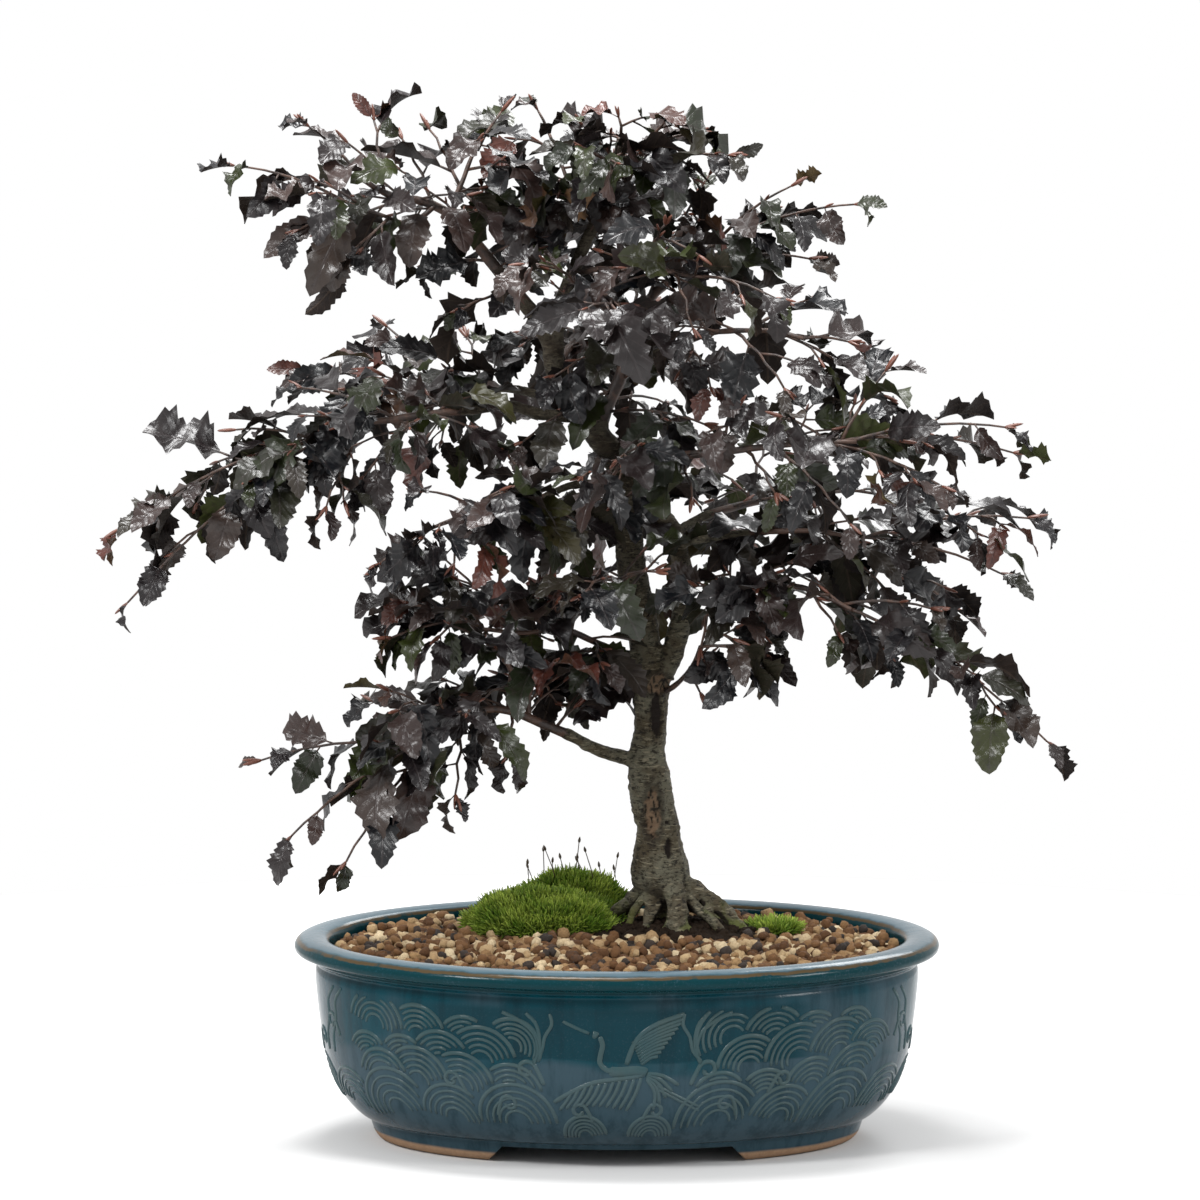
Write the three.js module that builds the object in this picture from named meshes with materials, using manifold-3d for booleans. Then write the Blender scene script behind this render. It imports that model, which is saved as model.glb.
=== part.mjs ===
// A bonsai beech in a glazed oval pot, in millimetres, +Z up, standing on its feet at z = 0.
// The pot holds drain screens, soil, a gravel bed and moss. The tree is a trunk with its roots,
// the woody limbs that grow on it, and one leafy spray at the end of each limb.

import * as THREE from 'three';
import { mergeVertices } from 'three/addons/utils/BufferGeometryUtils.js';
import Module from 'manifold-3d';

const wasm = await Module();
wasm.setup();

// ---- Driving dimensions ----

const CLEARANCE = 0.3; // air between two pieces that touch

const POT_LENGTH = 360; // over the lip, along X
const POT_DEPTH = 274; // over the lip, along Y
const POT_HEIGHT = 114; // floor to the crown of the lip
const POT_WALL = 8.7;
const LIP_WIDTH = 20; // outer edge to inner edge of the rolled lip
const LIP_DROP = 10; // crown of the lip to its lower edge
const POT_FLOOR = 10; // thickness of the pot's floor
const FOOT_HEIGHT = 10; // table to the underside of the floor
const FOOT_WIDTH = 13;
const FOOT_GAP = 126; // opening between the two feet, under the floor
const FOOT_GAP_SPREAD = 9; // how much wider each end of that opening is at the table
const DRAIN_HOLE = 16;
const DRAIN_SPACING = 120;

const SCREEN_SIZE = 28;
const SCREEN_THICK = 1.2;
const SCREEN_HOLE = 4.2;
const SCREEN_PITCH = 6;
const WIRE_THICK = 1.4;

const GRAVEL_DOWN = 10; // soil and gravel: crown of the lip down to the gravel's edge
const GRAVEL_DEPTH = 9;
const GRAVEL_DOME = 8; // how much the bed rises to its middle
const GRAIN = 1.1; // height of the bumps on the gravel

const TRUNK_FOOT = [26, 30]; // where the trunk stands in the pot
const TREE_HEIGHT = 480; // gravel to the top of the crown
const TREE_SPREAD = 525; // leaf tip to leaf tip, along X
const ROOT_DEPTH = 38; // how far the roots go under the gravel's edge

const LEAF_LENGTH = 36;
const LEAF_WIDTH = 0.5; // share of its length
const LEAF_THICK = 1.1;
const LEAF_FOOT = 0.3; // how far a leaf's foot goes past the middle of its shoot
const LEAF_SPACING = 30;
const SHOOT_THICK = 2.2; // a green shoot where it leaves its limb
const SHOOT_TIP = 1.5;

// ---- The tree's growth ----
// Points are in mm from the foot of the trunk, with z from the gravel's edge, for a tree
// 480 high and 525 wide. Other sizes stretch them.

const GROWN_HEIGHT = 480;
const GROWN_SPREAD = 525;

// Bends of the trunk, each with the trunk's radius there.
const TRUNK = [
  [0, 0, -30, 17], [0, 0, 4, 22], [0, 0, 19, 19], [-1, 0, 35, 17], [-3, 0, 52, 15.8],
  [-3, 0, 65, 11.8], [-6, 0, 78, 12.5], [-8, -1, 92, 12], [-9, -1, 107, 10.2],
  [-7, -1, 122, 9.3], [-7, -2, 136, 10.2], [-9, -2, 151, 10.8], [-10, -3, 165, 9],
  [-13, -4, 187, 8.4], [-18, -5, 212, 8.3], [-20, -7, 245, 7.8], [-20, -8, 261, 7.4],
  [-41, -12, 293, 7.1], [-51, -12, 308, 6.8], [-60, -12, 325, 6.3], [-61, -12, 340, 5.6],
  [-58, -13, 356, 4.7], [-45, -15, 391, 3.6], [-30, -18, 422, 3.2], [-24, -22, 453, 2.2],
];

// Roots: the bends of each from the trunk into the soil, and its radius at both ends.
const ROOTS = [
  { radii: [9, 4.5], way: [[4, -6, 30], [9, -22, 13], [11, -33, 0], [12, -42, -24]] },
  { radii: [9, 4], way: [[8, 2, 26], [22, -6, 14], [38, -10, 3], [50, -12, -22]] },
  { radii: [5, 2.5], way: [[6, -4, 24], [22, -20, 12], [34, -29, 0], [40, -34, -18]] },
  { radii: [8, 4], way: [[-6, -2, 24], [-20, 2, 12], [-34, 4, 1], [-46, 4, -22]] },
  { radii: [7, 3.5], way: [[-2, 6, 24], [-12, 22, 12], [-20, 32, 2], [-28, 42, -20]] },
  { radii: [8, 4], way: [[4, 6, 24], [14, 22, 12], [24, 34, 2], [30, 42, -20]] },
];

// Limbs: what each grows on, its radius at both ends, the points it bends through, and its
// shoots as [share of the limb's length, then the shoot's tip x, y, z]. A woody limb's inner
// stretch is a branch of its own; the outer stretch and the shoots are its spray.
const LIMBS = {
  riser: {
    on: 'trunk', woody: true, rejoins: true, radii: [6.5, 4.5],
    way: [[0, -3, 143], [5, -5, 163], [10, -6, 186], [10, -6, 208], [8, -6, 226],
      [0, -6, 240], [-20, -8, 257]],
    shoots: [],
  },
  second_leader: {
    on: 'trunk', woody: true, radii: [4.4, 1.8],
    way: [[-34, -11, 285], [-29, -6, 308], [-23, -2, 324], [-18, 2, 344], [-6, 6, 364],
      [10, 8, 375], [30, 6, 394]],
    shoots: [[1, 70, -10, 425], [0.95, 105, -10, 415], [0.85, 80, -10, 385],
      [0.6, 25, 5, 430], [0.5, -15, 40, 390], [0.75, 55, 40, 385]],
  },
  low_left: {
    on: 'trunk', woody: true, radii: [4.2, 1.4],
    way: [[-10, -1, 102], [-35, -8, 110], [-69, -24, 128], [-96, -39, 138],
      [-116, -46, 130], [-135, -52, 118]],
    shoots: [[1, -200, -60, 115], [0.9, -175, -70, 85], [0.8, -115, -75, 95],
      [0.6, -85, -50, 115], [0.9, -160, -30, 140], [0.4, -50, -20, 135],
      [0.95, -145, -40, 90]],
  },
  mid_left: {
    on: 'trunk', woody: true, radii: [2.2, 1.2],
    way: [[-11, -3, 163], [-26, -14, 166], [-41, -26, 174], [-58, -36, 182],
      [-76, -44, 181], [-101, -54, 184]],
    shoots: [[1, -140, -70, 200], [0.6, -60, -60, 210], [0.35, -35, -50, 165],
      [0.85, -120, -40, 220]],
  },
  front_left: {
    on: 'trunk', woody: true, radii: [2.8, 1.2],
    way: [[-20, -8, 264], [-52, -40, 261], [-84, -64, 249], [-103, -72, 250],
      [-123, -80, 245]],
    shoots: [[1, -155, -90, 225], [0.55, -85, -65, 280], [0.8, -130, -95, 265],
      [0.9, -115, -90, 225]],
  },
  long_left: {
    on: 'trunk', woody: true, radii: [3.6, 1.5],
    way: [[-44, -12, 295], [-66, -18, 299], [-85, -26, 304], [-118, -40, 302],
      [-146, -44, 300], [-170, -48, 297], [-194, -52, 288]],
    shoots: [[1, -235, -60, 295], [0.95, -300, -60, 240], [0.9, -295, -65, 200],
      [0.8, -185, -80, 255], [0.6, -165, -65, 270], [0.5, -150, -15, 315],
      [0.95, -225, -75, 270], [0.7, -200, -30, 315]],
  },
  back_left: {
    on: 'trunk', woody: true, radii: [3, 1.3],
    way: [[-51, -12, 305], [-69, 4, 307], [-85, 18, 309], [-105, 32, 309],
      [-131, 48, 308], [-157, 62, 310]],
    shoots: [[1, -200, 75, 315], [0.75, -155, 65, 340], [0.5, -110, 55, 335],
      [0.9, -185, 80, 285], [0.6, -125, 75, 275]],
  },
  high_left: {
    on: 'trunk', woody: true, radii: [5, 1.6],
    way: [[-60, -12, 333], [-69, -12, 350], [-83, -10, 368], [-100, -10, 388],
      [-121, -16, 412], [-150, -28, 421], [-166, -36, 430]],
    shoots: [[1, -195, -40, 460], [0.9, -160, -20, 462], [0.7, -145, 5, 450],
      [0.4, -130, 0, 380], [0.25, -110, -40, 360], [0.8, -185, -15, 400]],
  },
  front_right: {
    on: 'trunk', woody: true, radii: [3.6, 1.2],
    way: [[-28, -10, 277], [-13, -30, 279], [9, -52, 280], [41, -72, 285],
      [74, -88, 291], [104, -98, 293]],
    shoots: [[1, 185, -95, 300], [0.95, 190, -85, 285], [0.95, 120, -90, 330],
      [0.85, 150, -115, 270], [0.6, 60, -105, 265], [0.5, 40, -85, 310],
      [0.7, 100, -120, 250], [0.35, 15, -80, 260]],
  },
  mid_right: {
    on: 'riser', woody: true, radii: [2.6, 1.3],
    way: [[10, -6, 209], [28, -20, 207], [39, -32, 204], [51, -44, 207],
      [76, -56, 207], [102, -70, 197]],
    shoots: [[1, 210, -80, 125], [0.95, 145, -90, 200], [0.75, 95, -75, 185],
      [0.45, 60, -60, 215], [0.9, 120, -60, 175], [0.3, 55, -50, 180]],
  },
  back_right: {
    on: 'riser', woody: true, radii: [3, 1.4],
    way: [[5, -6, 231], [20, 16, 237], [43, 34, 243], [72, 50, 245], [103, 62, 248]],
    shoots: [[1, 150, 65, 235], [0.7, 110, 80, 285], [0.5, 60, 75, 275],
      [0.85, 95, 75, 205], [0.35, 30, 55, 210]],
  },
  knuckle_right: {
    on: 'riser', woody: true, radii: [2.4, 1.2],
    way: [[9, -6, 225], [27, -22, 230], [53, -32, 235], [83, -38, 237], [109, -42, 232]],
    shoots: [[1, 200, -50, 245], [0.95, 185, -55, 215], [0.75, 130, -30, 195],
      [0.5, 65, -40, 260], [0.85, 160, -5, 190]],
  },
  upper_right: {
    on: 'second_leader', woody: true, radii: [2.6, 1.2],
    way: [[-23, -2, 324], [-2, -22, 335], [24, -42, 346], [51, -58, 350], [77, -70, 346]],
    shoots: [[1, 100, -75, 345], [0.85, 120, -70, 315], [0.65, 65, -80, 320],
      [0.4, 25, -75, 320], [0.75, 80, -40, 365]],
  },
  low_left_riser: {
    on: 'low_left', radii: [1.8, 1.2],
    way: [[-83, -32, 137], [-85, -34, 151], [-87, -38, 163], [-108, -50, 188]],
    shoots: [[1, -150, -60, 180], [0.6, -125, -50, 215], [0.8, -80, -60, 200],
      [1, -140, -25, 195]],
  },
  low_left_mid: {
    on: 'low_left', radii: [1.8, 1],
    way: [[-76, -28, 133], [-74, -26, 143], [-69, -22, 156], [-64, -16, 164]],
    shoots: [[1, -50, -10, 160], [0.6, -60, 5, 135]],
  },
  high_left_upright: {
    on: 'high_left', radii: [1.8, 1],
    way: [[-117, -14, 409], [-115, -12, 420], [-110, -10, 431], [-103, -8, 445]],
    shoots: [[1, -90, -5, 466], [0.45, -130, 10, 455], [0.7, -80, -25, 435]],
  },
  high_left_side: {
    on: 'high_left', radii: [1.6, 0.9],
    way: [[-124, -18, 413], [-139, -34, 407], [-156, -44, 412], [-172, -52, 418]],
    shoots: [[1, -235, -60, 440], [0.6, -165, -55, 395], [0.85, -200, -60, 405]],
  },
  mid_right_down: {
    on: 'mid_right', radii: [1.4, 0.9],
    way: [[39, -32, 204], [31, -44, 198], [23, -54, 190]],
    shoots: [[1, 20, -65, 175]],
  },
  low_right: {
    on: 'trunk', radii: [1.8, 1],
    way: [[-4, -2, 138], [3, -8, 145], [10, -18, 152], [17, -28, 162], [20, -36, 172]],
    shoots: [[1, 50, -50, 170], [0.6, 20, -25, 145], [0.85, 40, -15, 190]],
  },
  upper_front_right: {
    on: 'trunk', radii: [2, 1.1],
    way: [[-51, -14, 375], [-30, -42, 382], [-5, -64, 384], [22, -80, 381]],
    shoots: [[1, 60, -90, 370], [0.6, 0, -90, 410], [0.8, 15, -105, 355]],
  },
  crown_right: {
    on: 'trunk', radii: [2, 1],
    way: [[-33, -17, 416], [-22, -22, 426], [-13, -26, 443], [-6, -30, 455]],
    shoots: [[1, 0, -35, 462], [0.55, 35, -50, 445], [0.8, 15, -20, 455],
      [0.35, -45, -60, 450]],
  },
  crown_left: {
    on: 'trunk', radii: [1.6, 0.9],
    way: [[-39, -16, 406], [-50, -2, 421], [-58, 6, 438], [-64, 10, 454]],
    shoots: [[1, -70, 10, 466], [0.5, -90, -5, 435], [0.8, -90, 20, 455]],
  },
  crown_back: {
    on: 'trunk', radii: [2, 1.2],
    way: [[-42, -15, 397], [-32, 30, 400], [-20, 70, 399]],
    shoots: [[1, -10, 105, 405], [0.7, -60, 90, 395]],
  },
  back_mid: {
    on: 'trunk', radii: [3, 1.5],
    way: [[-21, -6, 233], [-13, 36, 241], [1, 78, 245]],
    shoots: [[1, 25, 110, 250], [0.6, -40, 90, 240]],
  },
  back_high: {
    on: 'trunk', radii: [3, 1.4],
    way: [[-59, -12, 328], [-47, 32, 337], [-32, 74, 343]],
    shoots: [[1, -5, 105, 350], [0.6, -80, 90, 335], [0.85, -35, 110, 305]],
  },
  back_low: {
    on: 'trunk', radii: [2.4, 1.2],
    way: [[-13, -4, 184], [-29, 36, 185], [-47, 74, 185]],
    shoots: [[1, -65, 105, 180], [0.6, -15, 90, 205]],
  },
  front_mid: {
    on: 'trunk', radii: [2.6, 1.2],
    way: [[-20, -7, 242], [-27, -48, 263], [-35, -84, 276]],
    shoots: [[1, -45, -115, 275], [0.7, -15, -100, 290]],
  },
  front_low: {
    on: 'trunk', radii: [2, 1],
    way: [[-15, -4, 196], [-24, -44, 208], [-32, -76, 215]],
    shoots: [[1, -45, -110, 210], [0.7, -5, -90, 220]],
  },
  front_high: {
    on: 'trunk', radii: [2, 1],
    way: [[-59, -13, 358], [-44, -50, 366], [-32, -84, 371]],
    shoots: [[1, -25, -115, 360], [0.6, -65, -90, 390]],
  },
};

// ---- Sizes worked out from them ----

const LIP_HALF_LENGTH = POT_LENGTH / 2;
const OVAL = (POT_LENGTH - POT_DEPTH) / 2; // how much shorter the pot's Y half is than its X half
const INNER_FLOOR = FOOT_HEIGHT + POT_FLOOR;
const GRAVEL_EDGE = POT_HEIGHT - GRAVEL_DOWN;
const WALL_TOP = LIP_HALF_LENGTH - LIP_WIDTH;
const SOIL_TOP = GRAVEL_EDGE - GRAVEL_DEPTH;

// ---- Solids ----

// A closed three.js geometry as a solid that can be joined and cut.
function solidOf(geometry) {
  const bare = geometry.clone();
  bare.deleteAttribute('normal');
  bare.deleteAttribute('uv');
  const merged = mergeVertices(bare, 1e-4);
  return new wasm.Manifold(new wasm.Mesh({
    numProp: 3,
    vertProperties: new Float32Array(merged.attributes.position.array),
    triVerts: new Uint32Array(merged.index.array),
  }));
}

function geometryOf(solid) {
  const mesh = solid.getMesh();
  const geometry = new THREE.BufferGeometry();
  geometry.setAttribute('position', new THREE.BufferAttribute(mesh.vertProperties, 3));
  geometry.setIndex(new THREE.BufferAttribute(mesh.triVerts, 1));
  geometry.computeVertexNormals();
  return geometry;
}

// Rings of a tube from one share of a curve's length to another, turning with the curve.
function ringsAlong(curve, from, to, steps) {
  const rings = [];
  const side = new THREE.Vector3(0, 1, 0);
  if (Math.abs(curve.getTangentAt(from).y) > 0.8) {
    side.set(1, 0, 0);
  }
  for (let step = 0; step <= steps; step += 1) {
    const share = THREE.MathUtils.lerp(from, to, step / steps);
    const along = curve.getTangentAt(share);
    side.addScaledVector(along, -side.dot(along)).normalize();
    rings.push({
      share,
      at: curve.getPointAt(share),
      side: side.clone(),
      other: side.clone().cross(along),
    });
  }
  return rings;
}

// A round stretch of wood: a cylinder bent along the curve, with its radius at each share.
function bentRod(curve, from, to, radiusAt, sides, steps) {
  const rings = ringsAlong(curve, from, to, steps);
  const geometry = new THREE.CylinderGeometry(1, 1, 1, sides, steps);
  const spots = geometry.attributes.position;
  for (let index = 0; index < spots.count; index += 1) {
    const ring = rings[Math.round((spots.getY(index) + 0.5) * steps)];
    const radius = radiusAt(ring.share);
    const spot = ring.at.clone();
    spot.addScaledVector(ring.side, spots.getX(index) * radius);
    spot.addScaledVector(ring.other, spots.getZ(index) * radius);
    spots.setXYZ(index, spot.x, spot.y, spot.z);
  }
  return solidOf(geometry);
}

// The middle of a bent rod at a share of its curve: between two rings it runs straight.
function middleOfRod(curve, from, to, steps, share) {
  const place = ((share - from) / (to - from)) * steps;
  const below = Math.min(Math.floor(place), steps - 1);
  const ringAt = (ring) => curve.getPointAt(THREE.MathUtils.lerp(from, to, ring / steps));
  return ringAt(below).lerp(ringAt(below + 1), place - below);
}

function biggestPiece(solid) {
  const pieces = solid.decompose();
  return pieces.reduce((best, piece) => (piece.volume() > best.volume() ? piece : best));
}

// Evenly scattered shares from 0 to 1, for the natural variety of the leaves and the gravel.
function scattered(count, stride = 0.618034) {
  return (count * stride) % 1;
}

// ---- The finished object ----

const bonsai = new THREE.Group();

function addPiece(name, solid, color, roughness) {
  const material = new THREE.MeshStandardMaterial({ color, roughness, metalness: 0 });
  const mesh = new THREE.Mesh(geometryOf(solid), material);
  mesh.name = name;
  bonsai.add(mesh);
}

// ---- Pot ----

// Turns a round shape into the pot's oval: full along X, and shorter by OVAL along Y.
function madeOval(geometry) {
  const spots = geometry.attributes.position;
  for (let index = 0; index < spots.count; index += 1) {
    const radius = Math.hypot(spots.getX(index), spots.getZ(index));
    const shorter = Math.max(radius - OVAL, radius / 2);
    const squeeze = radius > 0 ? shorter / radius : 1;
    spots.setXYZ(index, spots.getX(index), -spots.getZ(index) * squeeze, spots.getY(index));
  }
  return geometry;
}

function ovalTurned(outline, segments) {
  const points = outline.map(([radius, height]) => new THREE.Vector2(radius, height));
  return solidOf(madeOval(new THREE.LatheGeometry(points, segments)));
}

const POT_SEGMENTS = 40;
const FOOT_EDGE = LIP_HALF_LENGTH - 49; // outer edge of the foot where it meets the table

function buildPot() {
  const lip = LIP_HALF_LENGTH;
  const lipLow = POT_HEIGHT - LIP_DROP;
  const wallHeight = lipLow - FOOT_HEIGHT;
  const up = (share) => FOOT_HEIGHT + wallHeight * share;
  const outside = [
    [FOOT_EDGE, 0],
    [lip - 42, FOOT_HEIGHT],
    [lip - 35, up(0.06)],
    [lip - 23, up(0.21)],
    [lip - 16, up(0.44)],
    [lip - 13, up(0.69)],
    [lip - 11.5, up(0.87)],
    [lip - 13, up(0.93)],
    [lip - 10.5, up(0.97)],
    [lip, lipLow],
    [lip, POT_HEIGHT - 3],
    [lip - 8, POT_HEIGHT],
  ];
  const inside = [
    [WALL_TOP, POT_HEIGHT - 2],
    [lip - 13 - POT_WALL, up(0.69)],
    [lip - 16 - POT_WALL, up(0.44)],
    [lip - 23 - POT_WALL, up(0.25)],
    [lip - 38 - POT_WALL, INNER_FLOOR],
    [0, INNER_FLOOR],
  ];
  const underside = [
    [0, FOOT_HEIGHT],
    [FOOT_EDGE - FOOT_WIDTH - 2, FOOT_HEIGHT],
    [FOOT_EDGE - FOOT_WIDTH, 0],
    [FOOT_EDGE, 0],
  ];
  const clay = ovalTurned([...outside, ...inside, ...underside], POT_SEGMENTS);
  return clay.subtract(buildFootGap()).subtract(buildDrainHoles());
}

// The opening between the feet runs right through, front to back, with slanted ends.
function buildFootGap() {
  const half = FOOT_GAP / 2;
  const outline = new THREE.Shape();
  outline.moveTo(-half - FOOT_GAP_SPREAD, -1);
  outline.lineTo(half + FOOT_GAP_SPREAD, -1);
  outline.lineTo(half, FOOT_HEIGHT);
  outline.lineTo(-half, FOOT_HEIGHT);
  const depth = POT_DEPTH;
  const geometry = new THREE.ExtrudeGeometry(outline, { depth, bevelEnabled: false });
  geometry.rotateX(Math.PI / 2).translate(0, depth / 2, 0);
  return solidOf(geometry);
}

function buildDrainHoles() {
  const holes = [-1, 1].map((sign) => {
    const hole = new THREE.CylinderGeometry(DRAIN_HOLE / 2, DRAIN_HOLE / 2, 3 * POT_FLOOR, 16);
    hole.rotateX(Math.PI / 2).translate((sign * DRAIN_SPACING) / 2, 0, INNER_FLOOR);
    return solidOf(hole);
  });
  return holes[0].add(holes[1]);
}

addPiece('pot', buildPot(), '#6f8f92', 0.25);

// ---- Drain screens and the wire clips that hold them ----

const SCREEN_LOW = INNER_FLOOR + CLEARANCE;
const CLIP_LEG = SCREEN_PITCH; // each leg goes down a hole of the screen
const CLIP_TOP = SCREEN_LOW + SCREEN_THICK + CLEARANCE + WIRE_THICK / 2;
const CLIP_LOW = FOOT_HEIGHT - CLEARANCE - WIRE_THICK / 2;

function buildScreen(x) {
  const sheet = new THREE.BoxGeometry(SCREEN_SIZE, SCREEN_SIZE, SCREEN_THICK);
  let screen = solidOf(sheet);
  for (const column of [-1, 0, 1]) {
    for (const row of [-1, 0, 1]) {
      const hole = new THREE.BoxGeometry(SCREEN_HOLE, SCREEN_HOLE, 3 * SCREEN_THICK);
      hole.translate(column * SCREEN_PITCH, row * SCREEN_PITCH, 0);
      screen = screen.subtract(solidOf(hole));
    }
  }
  return screen.translate(x, 0, SCREEN_LOW + SCREEN_THICK / 2);
}

function buildClip(x) {
  const bend = WIRE_THICK;
  const corners = [
    [-DRAIN_HOLE * 0.9, CLIP_LOW], [-CLIP_LEG - bend, CLIP_LOW], [-CLIP_LEG, CLIP_LOW + bend],
    [-CLIP_LEG, CLIP_TOP - bend], [-CLIP_LEG + bend, CLIP_TOP], [CLIP_LEG - bend, CLIP_TOP],
    [CLIP_LEG, CLIP_TOP - bend], [CLIP_LEG, CLIP_LOW + bend], [CLIP_LEG + bend, CLIP_LOW],
    [DRAIN_HOLE * 0.9, CLIP_LOW],
  ];
  const route = new THREE.CurvePath();
  for (let index = 1; index < corners.length; index += 1) {
    const [x0, z0] = corners[index - 1];
    const [x1, z1] = corners[index];
    route.add(new THREE.LineCurve3(
      new THREE.Vector3(x + x0, 0, z0),
      new THREE.Vector3(x + x1, 0, z1),
    ));
  }
  return bentRod(route, 0, 1, () => WIRE_THICK / 2, 5, 24);
}

for (const [name, sign] of [['left', -1], ['right', 1]]) {
  const x = (sign * DRAIN_SPACING) / 2;
  addPiece(`drain_screen_${name}`, buildScreen(x), '#3c4a3f', 0.6);
  addPiece(`screen_clip_${name}`, buildClip(x), '#8a8f92', 0.4);
}

// ---- Wood ----

const widen = TREE_SPREAD / GROWN_SPREAD;
const heighten = TREE_HEIGHT / GROWN_HEIGHT;

function spotOf([x, y, z]) {
  return new THREE.Vector3(
    TRUNK_FOOT[0] + x * widen,
    TRUNK_FOOT[1] + y * widen,
    GRAVEL_EDGE + z * heighten,
  );
}

function curveThrough(spots) {
  return new THREE.CatmullRomCurve3(spots, false, 'centripetal');
}

// Everything that has grown so far, CLEARANCE larger all round, so that what comes later
// stays clear of it.
const grown = [];

function remember(owner, solid) {
  grown.push({ owner, solid, box: solid.boundingBox() });
}

function boxesMeet(one, other) {
  return [0, 1, 2].every((axis) => one.min[axis] < other.max[axis]
    && other.min[axis] < one.max[axis]);
}

function neighboursOf(solid, mine) {
  const box = solid.boundingBox();
  return grown.filter((other) => !mine.includes(other.owner) && boxesMeet(box, other.box));
}

function isClear(solid, mine = []) {
  return neighboursOf(solid, mine).every((other) => solid.intersect(other.solid).isEmpty());
}

function trimmedClear(solid, mine = []) {
  const cut = neighboursOf(solid, mine).reduce((rest, other) => rest.subtract(other.solid), solid);
  return biggestPiece(cut);
}

const trunkCurve = curveThrough(TRUNK.map(spotOf));
const CROWN_START = 0.89; // share of the trunk's length where the leafy crown begins

function trunkRadius(share) {
  const place = trunkCurve.getUtoTmapping(share) * (TRUNK.length - 1);
  const below = Math.min(Math.floor(place), TRUNK.length - 2);
  return THREE.MathUtils.lerp(TRUNK[below][3], TRUNK[below + 1][3], place - below);
}

const rootDeeper = ROOT_DEPTH / 38;

function rootSpot([x, y, z]) {
  const spot = spotOf([x, y, z]);
  spot.z = GRAVEL_EDGE + (z < 0 ? z * rootDeeper : z);
  return spot;
}

function buildTrunk(extra) {
  const stem = bentRod(trunkCurve, 0, CROWN_START, (share) => trunkRadius(share) + extra, 10, 22);
  return ROOTS.reduce((wood, root) => {
    const curve = curveThrough(root.way.map(rootSpot));
    const radius = (share) => THREE.MathUtils.lerp(...root.radii, share) + extra;
    return wood.add(bentRod(curve, 0, 1, radius, 6, 5));
  }, stem);
}

const trunk = buildTrunk(0);
const trunkGrown = buildTrunk(CLEARANCE);
remember('trunk', trunkGrown);
addPiece('trunk', trunk, '#7a6a5a', 0.85);

// Each limb's curve starts, and for one that rejoins ends, on the middle of what it grows on.
const curves = { trunk: trunkCurve };

function nearestOn(curve, spot) {
  const spots = curve.getSpacedPoints(200);
  return spots.reduce((best, each) => (
    each.distanceTo(spot) < best.distanceTo(spot) ? each : best));
}

for (const [name, limb] of Object.entries(LIMBS)) {
  const spots = limb.way.map(spotOf);
  spots[0] = nearestOn(curves[limb.on], spots[0]);
  if (limb.rejoins) {
    spots[spots.length - 1] = nearestOn(curves[limb.on], spots[spots.length - 1]);
  }
  curves[name] = curveThrough(spots);
}

const SHOOT_ROOM = 8; // plain limb before the first shoot of a spray
const LIMB_SIDES = 5;
const LIMB_STEP = 20; // length of one straight stretch of a limb

// Share of a limb's length where its bare branch ends and its leafy spray starts.
function sprayStart(name) {
  const limb = LIMBS[name];
  if (!limb.woody) {
    return 0;
  }
  if (limb.shoots.length === 0) {
    return 1;
  }
  const first = Math.min(...limb.shoots.map(([share]) => share));
  return first - SHOOT_ROOM / curves[name].getLength();
}

function limbSteps(name, from, to) {
  return Math.max(2, Math.round((curves[name].getLength() * (to - from)) / LIMB_STEP));
}

function limbStretch(name, from, to, extra) {
  const curve = curves[name];
  const steps = limbSteps(name, from, to);
  const radius = (share) => (
    name === 'crown' ? trunkRadius(share) : THREE.MathUtils.lerp(...LIMBS[name].radii, share));
  return bentRod(curve, from, to, (share) => radius(share) + extra, LIMB_SIDES, steps);
}

for (const name of Object.keys(LIMBS)) {
  if (LIMBS[name].woody) {
    const branch = trimmedClear(limbStretch(name, 0, sprayStart(name), 0));
    remember(`branch_${name}`, limbStretch(name, 0, sprayStart(name), CLEARANCE));
    addPiece(`branch_${name}`, branch, '#75624f', 0.85);
  }
}

// ---- Sprays: the leafy end of each limb, its shoots and its leaves, grown as one ----

const sprays = {};

function startSpray(name, branchEnd) {
  const gap = branchEnd > 0 ? (CLEARANCE * 1.2) / curves[name].getLength() : 0;
  const from = branchEnd + gap;
  const stem = trimmedClear(limbStretch(name, from, 1, 0));
  sprays[name] = { from, steps: limbSteps(name, from, 1), body: stem, shoots: [] };
  remember(`spray_${name}`, limbStretch(name, from, 1, CLEARANCE));
}

const CROWN_SHOOTS = [[1, -25, -25, 464], [0.97, -45, -30, 460], [0.93, -15, 15, 440]];
curves.crown = trunkCurve;
startSpray('crown', CROWN_START);

for (const [name, limb] of Object.entries(LIMBS)) {
  if (limb.shoots.length > 0) {
    startSpray(name, sprayStart(name));
  }
}

// A shoot leaves its limb a little before the limb's end and rises, then bends to its tip. It
// bows up or down, as far as it must, to pass clear of the wood and shoots already there.
const SHOOT_BOWS = [0.12, 0.25, -0.1, 0.4, -0.25, 0.55];
const SHOOT_SIDES = 3;
const SHOOT_STEPS = 2;

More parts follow.
